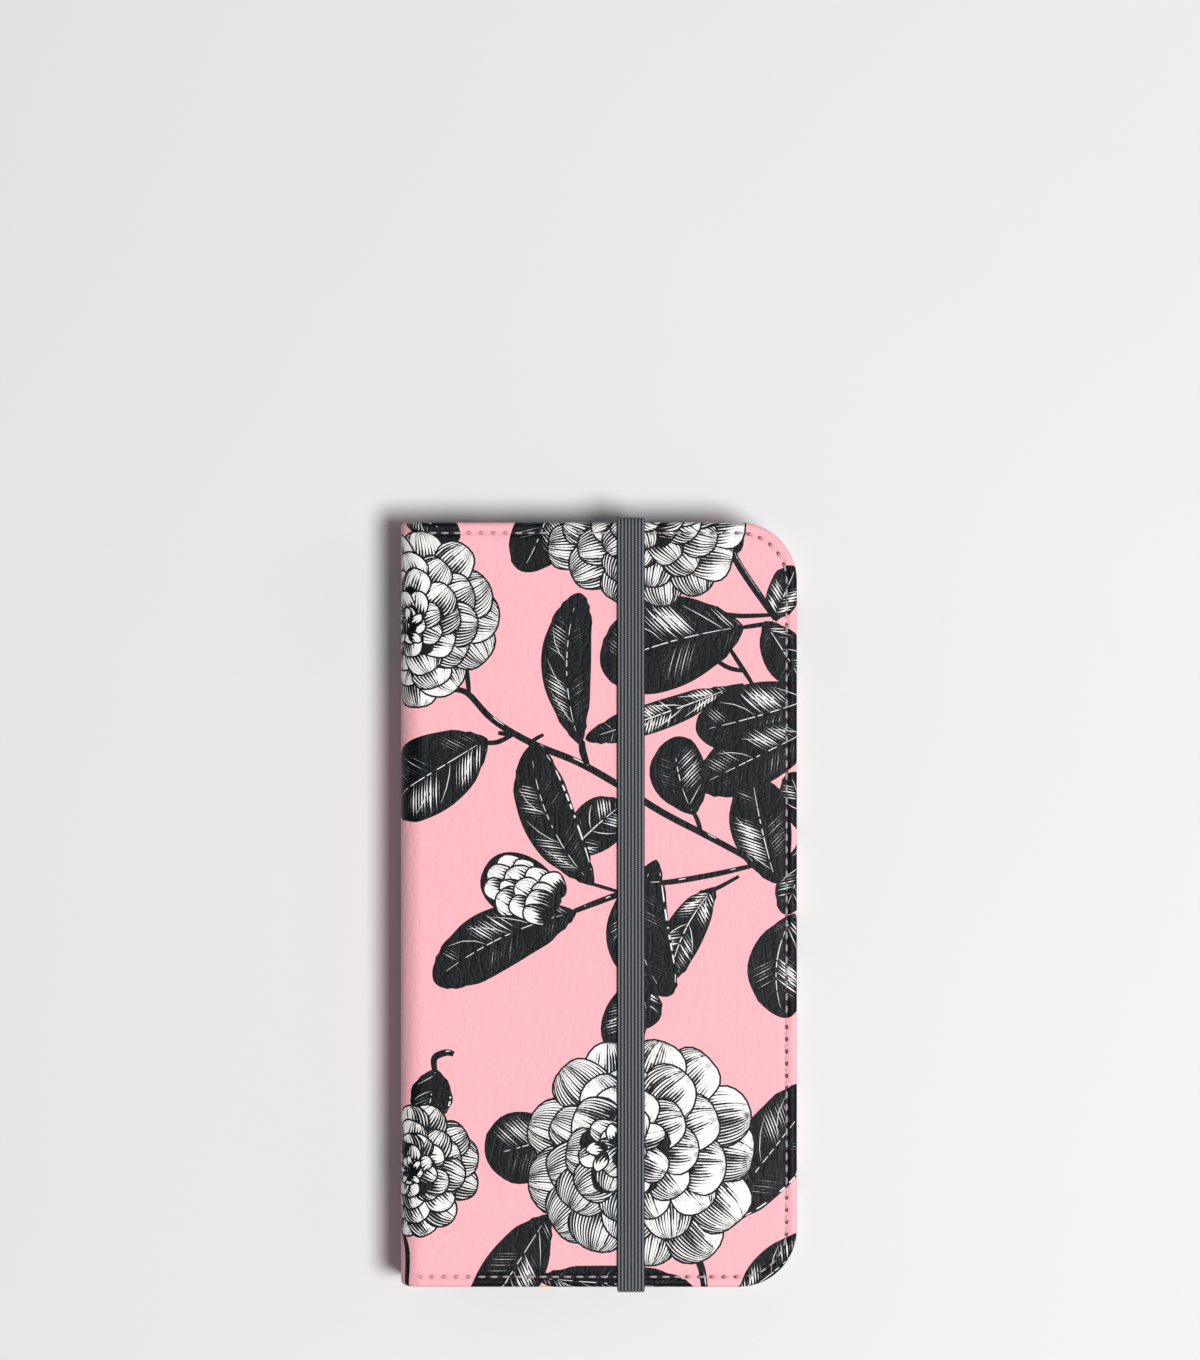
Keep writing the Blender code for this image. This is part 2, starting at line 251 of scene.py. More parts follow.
# ---------------------------------------------------------------- materials

class Value:
    """A socket in a shader. Arithmetic on it adds Math nodes."""

    def __init__(self, finish, socket):
        self.finish = finish
        self.socket = socket

    def math(self, operation, *others):
        return self.finish.node("ShaderNodeMath", {"operation": operation}, [self, *others])

    def reflected(self, operation, other):
        return self.finish.node("ShaderNodeMath", {"operation": operation}, [other, self])

    def __add__(self, other):
        return self.math("ADD", other)

    def __sub__(self, other):
        return self.math("SUBTRACT", other)

    def __mul__(self, other):
        return self.math("MULTIPLY", other)

    def __truediv__(self, other):
        return self.math("DIVIDE", other)

    def __pow__(self, other):
        return self.math("POWER", other)

    def __rsub__(self, other):
        return self.reflected("SUBTRACT", other)

    def __rtruediv__(self, other):
        return self.reflected("DIVIDE", other)

    __radd__ = __add__
    __rmul__ = __mul__

    def __abs__(self):
        return self.math("ABSOLUTE")

    def fraction(self):
        return self.math("FRACT")

    def floor(self):
        return self.math("FLOOR")

    def above(self, other):
        return self.math("GREATER_THAN", other)

    def least(self, other):
        return self.math("MINIMUM", other)

    def most(self, other):
        return self.math("MAXIMUM", other)

    def clipped(self):
        return self.most(0.0).least(1.0)

    def stripes(self):
        """0 at whole numbers and 1 half way between them."""
        return abs(abs(self.fraction() * 2.0 - 1.0) * -1.0 + 1.0)

    def step(self, low, high):
        """Rises smoothly from 0 at low to 1 at high."""
        settings = {"interpolation_type": "SMOOTHSTEP"}
        inputs = {"Value": self, "From Min": low, "From Max": high}
        return self.finish.node("ShaderNodeMapRange", settings, inputs)


class Finish:
    """A material built on a Principled shader, one node at a time."""

    def __init__(self, name):
        self.material = bpy.data.materials.new(name)
        self.material.use_nodes = True
        self.tree = self.material.node_tree
        self.shader = self.tree.nodes["Principled BSDF"]

    def node(self, kind, settings=None, inputs=(), output=0):
        """A node of any kind: its settings first, then values or links for its sockets."""
        made = self.tree.nodes.new(kind)
        for name, value in (settings or {}).items():
            setattr(made, name, value)
        for key, value in inputs.items() if isinstance(inputs, dict) else enumerate(inputs):
            self.feed(made.inputs[key], value)
        return Value(self, made.outputs[output])

    def feed(self, socket, value):
        if isinstance(value, Value):
            self.tree.links.new(value.socket, socket)
        elif hasattr(value, "__len__") and len(value) == 3 and len(socket.default_value) == 4:
            socket.default_value = (*value, 1.0)
        else:
            socket.default_value = value

    def shade(self, **inputs):
        """Feeds the Principled shader: base_color is its Base Color, and so on."""
        for name, value in inputs.items():
            self.feed(self.shader.inputs[name.replace("_", " ").title().replace("Ior", "IOR")], value)
        return self.material

    def places(self):
        return self.node("ShaderNodeTexCoord", output="Object")

    def attribute(self, name):
        return self.node("ShaderNodeAttribute", {"attribute_name": name}, output="Vector")

    def split(self, vector):
        apart = self.node("ShaderNodeSeparateXYZ", inputs=[vector]).socket.node
        return [Value(self, socket) for socket in apart.outputs]

    def stretch(self, vector, scale):
        return self.node("ShaderNodeVectorMath", {"operation": "MULTIPLY"}, [vector, scale])

    def mix(self, amount, first, second):
        return self.node("ShaderNodeMix", {"data_type": "RGBA"}, {0: amount, 6: first, 7: second}, 2)

    def noise(self, vector, width, detail=2.0, roughness=0.5):
        """Even noise whose lumps are about width millimetres across."""
        inputs = {"Vector": vector, "Scale": 1 / (width * MM), "Detail": detail, "Roughness": roughness}
        return self.node("ShaderNodeTexNoise", inputs=inputs)

    def cells(self, vector, width, feature="F1"):
        inputs = {"Vector": vector, "Scale": 1 / (width * MM)}
        return self.node("ShaderNodeTexVoronoi", {"feature": feature}, inputs)

    def relief(self, height, depth, strength=1.0):
        """A bump whose full height is depth millimetres."""
        inputs = {"Height": height, "Distance": depth * MM, "Strength": strength}
        return self.node("ShaderNodeBump", inputs=inputs)


def printed_leather(scene):
    """Coated leather: the print from the mesh's own attributes, over grain, wrinkles and needle holes, with
    painted shade in the holes and along the seam.
    """
    look, seam = scene.folio_leather, scene.folio_seam
    grain, pitch = sizes(look, "grain")[0], sizes(seam, "pitch")[0]
    finish = Finish("printed_leather")
    phase, tone, inked = finish.split(finish.attribute("print"))
    flat = finish.attribute("flat")
    along, off, _ = finish.split(finish.attribute("seam"))
    rough_print = finish.noise(flat, 0.35, 2.0)
    line = abs(phase.fraction() * 2.0 - 1.0)
    # Each stroke ends a little sooner or later than its neighbours
    stroke_number = (phase + tone.above(0.5) * 0.5).floor()
    chance = finish.node("ShaderNodeTexWhiteNoise", {"noise_dimensions": "1D"}, {"W": stroke_number})
    uneven = (chance - 0.5) * (tone * (1.0 - tone) * 2.6)
    white = ((tone * 1.16 - 0.08 + uneven - line + (rough_print - 0.5) * 0.3) / 0.14 + 0.5).clipped()
    cloud = finish.noise(flat, 26.0, 3.0)
    ground = finish.mix(cloud, [c * 0.975 for c in look.ground], [min(1, c * 1.02) for c in look.ground])
    drawn = finish.mix(white, look.ink, look.paper)
    colour_now = finish.mix(inked, ground, drawn)
    # Painted shade in the needle holes at the stitches' ends, and the painted shadow that the sunken thread
    # leaves
    past_hole = ((along / pitch + 0.5).fraction() - 0.5) * pitch
    hole = 1.0 - (past_hole ** 2 * 2.6 + off * off * 8.0).step(0.35, 1.0)
    seam_shadow = 1.0 - abs(off).step(0.18, 0.6)
    colour_now = finish.mix(seam_shadow * 0.08, colour_now, (0.2, 0.05, 0.07))
    colour_now = finish.mix(hole * 0.9, colour_now, (0.06, 0.015, 0.025))
    pebbles = finish.cells(flat, grain, "SMOOTH_F1")
    creases = finish.cells(finish.stretch(flat, (1.0, 0.42, 1.0)), grain * 3.2, "DISTANCE_TO_EDGE")
    creases = creases.step(0.0, 0.16)
    wrinkles = finish.noise(finish.stretch(flat, (1.0, 0.16, 1.0)), 1.7, 3.0, 0.6)
    fine = finish.noise(flat, 0.16, 2.0)
    height = pebbles * -0.5 + creases * 0.35 + wrinkles * 1.1 + fine * 0.1 - hole * 1.5
    worn = finish.noise(flat, 7.0, 3.0)
    roughness = 0.43 + worn * 0.14 + pebbles * 0.12 - inked * 0.05
    return finish.shade(
        base_color=colour_now,
        roughness=roughness,
        normal=finish.relief(height, 0.085, 1.0),
        specular_ior_level=0.13,
    )


def fine_leather(name, base, grain):
    """Plain black leather with a fine pebble grain and lighter, worn tops."""
    finish = Finish(name)
    places = finish.places()
    pebbles = finish.cells(places, grain, "SMOOTH_F1")
    valleys = finish.cells(places, grain * 1.9, "DISTANCE_TO_EDGE").step(0.0, 0.2)
    cloud = finish.noise(places, 14.0, 3.0)
    lighter = [min(1, c * 1.9 + 0.006) for c in base]
    worn = (cloud * valleys * 0.8).clipped()
    return finish.shade(
        base_color=finish.mix(worn, base, lighter),
        roughness=0.52 + cloud * 0.16 - valleys * 0.08,
        normal=finish.relief(valleys * 0.7 - pebbles * 0.5 + cloud * 0.3, 0.06, 0.8),
    )


def fibre_board(base):
    """Pressed board with short fibres and flecks."""
    finish = Finish("fibre_board")
    places = finish.places()
    fibres = finish.noise(finish.stretch(places, (1.0, 0.2, 1.0)), 0.7, 4.0, 0.7)
    flecks = finish.noise(places, 0.5, 1.0).step(0.64, 0.72)
    body = finish.mix(fibres, [c * 0.7 for c in base], [min(1, c * 1.35) for c in base])
    return finish.shade(
        base_color=finish.mix(flecks * 0.6, body, (0.12, 0.09, 0.07)),
        roughness=0.86 + fibres * 0.08,
        normal=finish.relief(fibres, 0.05),
    )


def adhesive_foam(base):
    """White foam tape with open cells."""
    finish = Finish("adhesive_foam")
    places = finish.places()
    cells = finish.cells(places, 0.28)
    cloud = finish.noise(places, 5.0, 2.0)
    return finish.shade(
        base_color=finish.mix(cells * cloud, base, [c * 0.82 for c in base]),
        roughness=0.8 + cells * 0.1,
        normal=finish.relief(cells, 0.05),
    )


def shell_plastic(base):
    """Black moulded plastic with a fine spark texture and faint scuffs."""
    finish = Finish("shell_plastic")
    places = finish.places()
    spark = finish.noise(places, 0.22, 2.0, 0.6)
    scuffs = finish.noise(finish.stretch(places, (1.0, 0.08, 1.0)), 1.1, 3.0, 0.7).step(0.6, 0.78)
    cloud = finish.noise(places, 18.0, 2.0)
    return finish.shade(
        base_color=finish.mix(scuffs * 0.12 + cloud * 0.1, base, (0.09, 0.09, 0.095)),
        roughness=0.42 + spark * 0.14 + scuffs * 0.1,
        normal=finish.relief(spark, 0.02, 0.7),
    )


def elastic_webbing(look):
    """Knitted elastic: cords with painted light on their crests, painted shade in the gaps, and fine turns of
    covering yarn.
    """
    finish = Finish("elastic_webbing")
    across, along, crest = finish.split(finish.attribute("weave"))
    yarn = (along / 0.42 + across * 0.8).stripes()
    fuzz = finish.noise(finish.places(), 0.3, 3.0, 0.65)
    lit = (crest ** 2.4 * (0.62 + yarn * 0.75) - 0.04 + (fuzz - 0.5) * 0.25).clipped()
    body = finish.mix(lit, look.gap, look.cord)
    pale = (fuzz.step(0.6, 0.8) * crest * 0.35).clipped()
    return finish.shade(
        base_color=finish.mix(pale, body, (0.28, 0.3, 0.33)),
        roughness=0.74 + fuzz * 0.16,
        normal=finish.relief(yarn * 0.6 + fuzz * 0.5, 0.06),
        specular_ior_level=0.2,
    )


def sewing_thread(name, plain, on_ink_sheen):
    """Twisted thread with painted shade in the grooves of its twist, and a painted highlight that makes it
    read lighter where it crosses the black of the print.
    """
    finish = Finish(name)
    places = finish.places()
    x, y, z = finish.split(places)
    twist = ((x + y + z) / (0.34 * MM)).stripes()
    inked, _, _ = finish.split(finish.attribute("over"))
    body = finish.mix(inked, plain, on_ink_sheen)
    # Painted shade in the grooves between the turns of the twist
    dark = finish.mix(inked, [c * 0.62 for c in plain], [c * 0.4 for c in on_ink_sheen])
    return finish.shade(
        base_color=finish.mix(twist * 0.75 + 0.2, dark, body),
        roughness=0.5 + twist * 0.15,
        normal=finish.relief(twist, 0.05),
    )


def stage_floor(base):
    """Plain pale matte floor."""
    finish = Finish("stage_floor")
    cloud = finish.noise(finish.places(), 90.0, 3.0)
    return finish.shade(
        base_color=finish.mix(cloud, [c * 0.985 for c in base], [min(1, c * 1.015) for c in base]),
        roughness=0.78 + cloud * 0.04,
        specular_ior_level=0.25,
    )


# ---------------------------------------------------------------- drawing the print

class Drawn:
    """One inked shape: its outline, and what gives each spot its hatch phase and its share of white."""

    def __init__(self, outline, shading=None, tone=0.0):
        self.outline = outline
        self.shading = shading or (lambda spots: (np.zeros(len(spots)), np.full(len(spots), tone)))


class Spine:
    """A line from base to tip that bows to its left by bow, with places given along it and across it."""

    def __init__(self, base, tip, bow=0.0):
        self.base, self.bow = Vector(base), bow
        self.length = (Vector(tip) - self.base).length
        self.ahead = (Vector(tip) - self.base) / self.length
        self.left = Vector((-self.ahead.y, self.ahead.x))

    def at(self, t, off):
        bowed = off + self.bow * 4 * t * (1 - t)
        return tuple(self.base + self.ahead * (t * self.length) + self.left * bowed)

    def along_and_off(self, spots):
        x, y = spots[:, 0] - self.base.x, spots[:, 1] - self.base.y
        t = (x * self.ahead.x + y * self.ahead.y) / self.length
        off = x * self.left.x + y * self.left.y
        return t, off - self.bow * 4 * t * (1 - t)


def fullness(t, base_power, tip_power):
    """Half-width of a leaf or petal along its length: 0 at both ends, 1 at its widest."""
    widest = base_power / (base_power + tip_power)
    most = widest ** base_power * (1 - widest) ** tip_power
    return np.clip(t, 0, 1) ** base_power * np.clip(1 - t, 0, 1) ** tip_power / most


def outline_of(spine, width, base_power, tip_power, steps, ragged=lambda t, side: 0.0):
    """Up the left side from base to tip, and back down the right."""
    ends = [(1 - cos(pi * i / steps)) / 2 for i in range(steps + 1)]
    left = [(t, 1) for t in ends]
    right = [(t, -1) for t in reversed(ends[1:-1])]
    return [
        spine.at(t, side * (fullness(t, base_power, tip_power) * width / 2 + ragged(t, side)))
        for t, side in left + right
    ]


def stroke(points, width, taper=0.35):
    """A thin closed outline along some points, narrower at both ends."""
    count = len(points)
    left, right = [], []
    for i, point in enumerate(points):
        ahead = Vector(points[min(i + 1, count - 1)]) - Vector(points[max(i - 1, 0)])
        side = Vector((-ahead.y, ahead.x)).normalized()
        full = taper + (1 - taper) * sin(pi * i / (count - 1))
        left.append(tuple(Vector(point) + side * width * full / 2))
        right.append(tuple(Vector(point) - side * width * full / 2))
    return left + right[::-1]


def smooth(points, steps=5):
    """A Catmull-Rom line through some points."""
    padded = [Vector(p) for p in (points[0], *points, points[-1])]
    line = []
    for a, b, c, d in zip(padded, padded[1:], padded[2:], padded[3:]):
        for i in range(steps):
            t = i / steps
            square, cube = a * 2 - b * 5 + c * 4 - d, b * 3 - a - c * 3 + d
            line.append(tuple((b * 2 + (c - a) * t + square * t * t + cube * t ** 3) / 2))
    return line + [tuple(padded[-1])]


# How sharply a leaf's and a bud's outline closes at its stalk and at its tip, and a petal's at its root
LEAF_ENDS = (0.74, 0.55)
BUD_ENDS = (0.5, 0.42)
PETAL_ROOT = 0.6

# Where a flower's rings of petals reach, from the rim in; the ring whose petals lie on a dark disc; the rows
# of a bud's scales along it
RINGS = (1.0, 0.79, 0.59, 0.4, 0.22)
HEART_RING = 3
BUD_ROWS = (0.84, 0.66, 0.48, 0.3)


def leaf(look, base, tip, width, bow, light, lit_side, rim=0):
    """A dark serrated leaf with light strokes on one side or both (0), a broken midrib and side veins."""
    spine = Spine(base, tip, bow)
    pitch = sizes(look, "leaf_hatch")[0]

    def teeth(t, side):
        return 0.16 * sin(t * spine.length * 4.2 + side) * (0.05 < t < 0.96)

    def shading(spots):
        t, off = spine.along_and_off(spots)
        across = off / (fullness(t, *LEAF_ENDS) * width / 2 + 0.05)
        place = t * spine.length - 0.72 * np.abs(off) + 0.018 * off * off
        near = np.exp(-((np.abs(across) - 0.45) / 0.26) ** 2)
        side = np.where(across * lit_side >= 0, 1.0, 0.22) if lit_side else 1.0
        bands = np.clip(0.55 + 0.75 * np.sin(place * 0.55 + spine.length * 2.3), 0, 1)
        swell = np.sin(pi * np.clip(t * 1.08, 0, 1)) ** 0.8
        return place / pitch, np.clip(light * near * side * bands * swell * 0.95, 0, 0.6)

    def rib_shading(spots):
        t, _ = spine.along_and_off(spots)
        return t * spine.length / 2.7 + 0.5 * np.sin(t * 11), np.full(len(spots), 0.3 + light * 0.5)

    steps = max(14, int(spine.length * 1.1))
    shapes = [Drawn(outline_of(spine, width, *LEAF_ENDS, steps, teeth), shading)]
    veins = max(2, int(spine.length / 7.5))
    for i in range(veins):
        start = 0.14 + 0.62 * i / veins
        for side in (1, -1):
            if lit_side and side != lit_side:
                continue
            places = [start + 0.11 * k / 3 + 0.012 * k * k for k in range(4)]
            halves = [fullness(t, *LEAF_ENDS) * width / 2 for t in places]
            points = [
                spine.at(t, side * half * (0.06 + 0.24 * k))
                for k, (t, half) in enumerate(zip(places, halves))
            ]
            shapes.append(Drawn(stroke(points, 0.07 + 0.12 * light, 0.15), tone=1.0))
    middle = [spine.at(0.06 + 0.84 * i / 12, 0.0) for i in range(13)]
    shapes.append(Drawn(stroke(middle, 0.1 + 0.12 * light, 0.3), rib_shading))
    if rim:
        edge = [
            spine.at(t, rim * (fullness(t, *LEAF_ENDS) * width / 2 - 0.42))
            for t in [0.1 + 0.8 * i / 16 for i in range(17)]
        ]
        shapes.append(Drawn(stroke(edge, 0.34, 0.3), rib_shading))
    return shapes


def petal(look, root, tip, width, shadow, dark_side, blunt=0.42, grey=0.0):
    """A white petal in a black outline, hatched from its root and down one flank, or all over if grey."""
    line, pitch = sizes(look, "line", "petal_hatch")
    spine = Spine(root, tip)
    wave = (root[0] * 7.3 + root[1] * 3.1) % (2 * pi)

    def ragged(t, side):
        return 0.028 * width * sin(8 * t + side * wave)

    inner = Spine(spine.at(0.02, 0), spine.at(1 - line / spine.length, 0))

    def shading(spots):
        t, off = spine.along_and_off(spots)
        across = off / (fullness(t, PETAL_ROOT, blunt) * width / 2 + 0.1)
        fan = across * width * 0.5 * (0.75 + 0.25 * np.clip(t, 0, 1)) + 0.12 * np.sin(t * 6 + wave)
        ragged_end = 0.12 * np.sin(fan * 2.3 + wave) + 0.06 * np.sin(fan * 7.1)
        reach = t - shadow + 0.3 * across * dark_side + ragged_end
        tone = 0.46 + 0.6 * np.clip(reach / 0.32, -0.3, 1.0)
        flank = 0.42 * np.clip((np.abs(across) - 0.58 + ragged_end) / 0.4, 0, 1) * (across * dark_side < 0)
        rim = 0.4 * np.clip((t - 0.86 - 0.5 * ragged_end) / 0.14, 0, 1)
        root_dark = 0.8 * np.clip((0.42 - t + ragged_end) / 0.2, 0, 1)
        glow = np.exp(-((t - 0.7) / 0.2) ** 2 - (across / 0.6) ** 2)
        tone = np.maximum(tone - flank - rim, 0.36) - root_dark
        return fan / pitch, np.clip(tone * (1 - grey) + grey * (0.24 + 0.5 * glow), 0.0, 1.0)

    return [
        Drawn(outline_of(spine, width, PETAL_ROOT, blunt, 12, ragged)),
        Drawn(outline_of(inner, width - 2 * line, PETAL_ROOT, blunt, 12, ragged), shading),
    ]


def camellia(look, centre, across, along, seed, heart, shaded_way, dusk):
    """Rings of overlapping petals round a crumpled heart, the outermost first, greyer on one side."""
    draw = random.Random(look.seed + seed)
    radius = (across + along) / 2
    shapes = []
    for ring, reach in enumerate(RINGS):
        width = radius * 0.52 * (0.5 + 0.5 * reach)
        length = radius * 0.58 * (0.5 + 0.5 * reach)
        count = max(5, round(2 * pi * reach * radius * 0.86 / (width * 0.8)))
        shift = draw.uniform(0, 2 * pi)
        pull = 1 - reach
        if ring == HEART_RING:
            middle = Vector(centre) + Vector(heart) * pull
            shapes.append(Drawn([
                tuple(middle + Vector((cos(turn), sin(turn))) * radius * (0.36 + 0.05 * sin(turn * 5)))
                for turn in [2 * pi * i / 30 for i in range(30)]
            ]))
        for i in range(count):
            turn = shift + 2 * pi * (i + draw.uniform(-0.16, 0.16)) / count
            way = Vector((across * cos(turn), along * sin(turn)))
            tip = Vector(centre) + Vector(heart) * pull + way * reach * draw.uniform(0.93, 1.03)
            lean = Vector((-way.y, way.x)).normalized() * draw.uniform(-0.28, 0.28)
            root = tip - (way.normalized() + lean).normalized() * length
            shadow = 0.5 + 0.16 * draw.random() + 0.06 * (ring == 0)
            dark = draw.choice((-1, 1))
            shade = Vector(shaded_way).dot(way.normalized()) * reach + draw.uniform(-0.25, 0.25)
            grey = min(0.95, max(0.0, shade * 1.8 - 0.3 + dusk))
            broad = width * (draw.uniform(0.9, 1.14) if ring < HEART_RING else draw.uniform(0.62, 1.0))
            shapes += petal(look, tuple(root), tuple(tip), broad, shadow, dark, grey=grey)
    for i in range(5):
        turn = 2.4 * i
        root = Vector(centre) + Vector(heart) + Vector((cos(turn), sin(turn))) * radius * 0.05
        tip = root + Vector((cos(turn + 0.9), sin(turn + 0.9))) * radius * 0.2
        shapes += petal(look, tuple(root), tuple(tip), radius * 0.13, 0.3, 1, 0.6)
    return shapes


def bud(look, base, tip, width):
    """An opening bud: rows of scales that point to the tip."""
    spine = Spine(base, tip)
    shapes = [Drawn(outline_of(spine, width + 0.5, *BUD_ENDS, 18))]
    for row, t in enumerate(BUD_ROWS):
        count = 3 + row % 2
        half = fullness(t, *BUD_ENDS) * width / 2
        for i in range(count):
            place = -1 + 2 * (i + 0.5) / count
            root = spine.at(t - 0.3, place * half * 0.7)
            end = spine.at(t + 0.12 - 0.07 * abs(place), place * half * 0.9)
            wide = width * (0.44 + 0.08 * sin(row * 5 + i * 3))
            shapes += petal(look, root, end, wide, 0.42, 1 if place > 0 else -1, 0.5, 0.25 * (i % 2))
    return shapes


def stem(points, width):
    """A dark twig with a broken streak of light along it."""
    line = smooth(points)
    lit = [tuple(Vector(p) + Vector((0.18, 0.22)) * width) for p in line]
    shapes = [Drawn(stroke(line, width, 0.75))]

    def shading(spots):
        return (spots[:, 0] * 0.8 + spots[:, 1] * 0.5) / 4.3, np.full(len(spots), 0.2)

    if width > 1.0:
        shapes.append(Drawn(stroke(lit, width * 0.16, 0.4), shading))
    return shapes


# Leaves: base, tip, width, bow to the left, how light, lit side (0 is both, 1 left, -1 right), and the side
# of a pale rim
LEAVES = (
    ((-40, 77), (-26.3, 69), 7, 0, 0.3, 0, 0),
    ((-8.5, 80), (-14.6, 63), 10.4, 1, 0.45, 1, 0),
    ((-3.5, 30.2), (-3.8, 59), 9.4, 2.4, 0.42, 1, 0),
    ((33, 53.8), (37.4, 64), 7, 0, 0.6, 0, 0),
    ((31.3, 53.6), (39, 41.5), 8.6, 0, 0.5, 1, 0),
    ((27.4, 52.6), (0.4, 45), 17.6, -1, 0.72, -1, 0),
    ((25.5, 41.2), (-2.5, 31.3), 5.8, 0.3, 0.95, 0, 0),
    ((43, 40), (18.4, 32.8), 12.6, 0.5, 0.62, -1, 0),
    ((42, 34), (18.6, 22.4), 11.2, 0, 0.5, -1, 0),
    ((18, 17), (14.4, 31.8), 10.6, 1, 0.4, -1, 0),
    ((-21, 31.4), (-42, 18.6), 15, 0, 0.7, 1, 0),
    ((-5.8, 9.5), (4.8, 19.2), 9.5, 0.4, 0.85, 0, 0),
    ((-1, 3.6), (-12.8, 30.2), 10.5, 2.6, 0.4, 1, -1),
    ((-4.2, -1.3), (-31.2, -14.4), 11.8, -1.8, 0.5, -1, 0),
    ((42, 12), (36, 25), 8, 0, 0.6, 1, 0),
    ((33.6, 4), (29, 24.3), 11.6, 0.4, 0.66, 1, 0),
    ((41, 14), (35, -1.8), 7, 0, 0.45, 0, 0),
    ((8, -14.5), (8.6, -23.5), 7.4, 0, 0.7, 0, 0),
    ((9, -13), (3.6, -30), 8.6, -1, 0.3, 0, 0),
    ((22, 3.4), (13.4, -13.8), 7.6, -1.4, 0.85, 0, 0),
    ((10.8, 8.6), (12.8, -17.4), 12.4, -4.4, 0.36, -1, 1),
    ((37, -1.6), (35, -21.4), 11, -2.4, 0.66, 1, 0),
    ((-30.8, -31), (-32.4, -40.5), 8.2, 0, 0.3, -1, 1),
    ((-6.5, -43.5), (-21.4, -47.6), 13.6, 0, 0.42, -1, 0),
    ((-9.5, -58.5), (-23, -80), 11.6, 0, 0.5, 1, 0),
    ((-12, -70.5), (18, -72.8), 7.4, 0, 0.4, -1, 0),
    ((21.6, -60.8), (42.5, -34), 14, 0, 0.42, 1, -1),
    ((26, -75), (41, -63), 8.6, 0, 0.6, 1, 0),
)

# Twigs: width, then the points they run through
TWIGS = (
    (1.35, (-28, 40.7), (-24.8, 40), (-20, 35), (-12.5, 30.5), (-4, 27), (3.5, 22.8), (12, 17.5), (20, 13.3),
     (27, 9.5), (28.8, 8)),
    (0.95, (-25, 45), (-24.5, 40)),
    (0.9, (-19, 32.5), (-16.5, 32.2)),
    (0.95, (-23, 30.8), (-19.4, 30.7), (-16.2, 32.2)),
    (1.4, (-3.2, 31), (-3, 29), (-2.2, 26.5)),
    (0.8, (-13, 29.4), (-12.4, 31), (-10.4, 32.2)),
    (0.9, (17.8, 17.8), (18.8, 15.6), (19.4, 13.2)),
    (1.4, (27.5, 75), (26.7, 68), (25.8, 65.5), (32.5, 55.5), (34, 54)),
    (0.9, (23.8, 55), (27, 54.6), (32.6, 54.8)),
    (0.9, (27, 52.4), (33, 53.3)),
    (0.9, (24.4, 49), (27.3, 44.5), (29, 41.8)),
    (0.9, (21.6, 46.6), (24.6, 44.8), (27.6, 44.2)),
    (0.8, (24, 41), (27.4, 41.6)),
    (1.1, (29, 7.4), (22, 5.8), (14, 4.4), (9, 4)),
    (0.8, (26.5, 5.4), (22, 3), (19, 2.4)),
    (1.2, (-4.6, -1.2), (0, 0.6), (4, 2), (10, 3.4)),
    (0.7, (-2, 4.2), (4, 2.4)),
    (1.3, (-27.4, -28.2), (-28.8, -27.9), (-31, -28.9), (-31, -31.4)),
    (1.5, (22.4, -60.6), (19.8, -64), (18.6, -66), (19.6, -69.4), (20.4, -76)),
    (1.2, (19.4, -65.4), (17, -65)),
    (1.3, (-38, -62), (-36.5, -66), (-37, -75)),
)

# Flowers: centre, half width, half height, seed, where the heart lies off the centre, which way it greys,
# and how grey it is all over
FLOWERS = (
    ((-35.4, 54.4), 17.2, 17.4, 1, (-1, -2), (0.45, 0.1), 0.1),
    ((8.8, 72), 19.4, 16.6, 2, (0, 3), (-0.2, -0.85), 0.55),
    ((-36, -50.4), 14, 12.8, 3, (0, 0), (0.3, 0.2), 0.15),
    ((8.6, -47.4), 22.4, 22, 4, (-6, 1), (-0.8, -0.55), 0.15),
)
BUDS = (((-7.6, -0.6), (-21.6, 7), 11.5),)

# The print repeats across the back: how far each copy is shifted along the leather
REPEATS = {FRONT: ((0, 0), (-96, 26)), BACK: ((0, 0), (-96, 26), (-96, -126), (-192, 52))}


def drawn_print(look, side):
    """Every shape of the print on one cover's leather, in the order they are inked."""
    once = []
    for base, tip, width, bow, light, lit_side, rim in LEAVES:
        once += leaf(look, base, tip, width, bow, light, lit_side, rim)
    for width, *points in TWIGS:
        once += stem(points, width)
    for base, tip, width in BUDS:
        once += bud(look, base, tip, width)
    for flower in FLOWERS:
        once += camellia(look, *flower)
    return [(shape, shift) for shift in REPEATS[side] for shape in once]


# ---------------------------------------------------------------- sheets wrapped round a cover

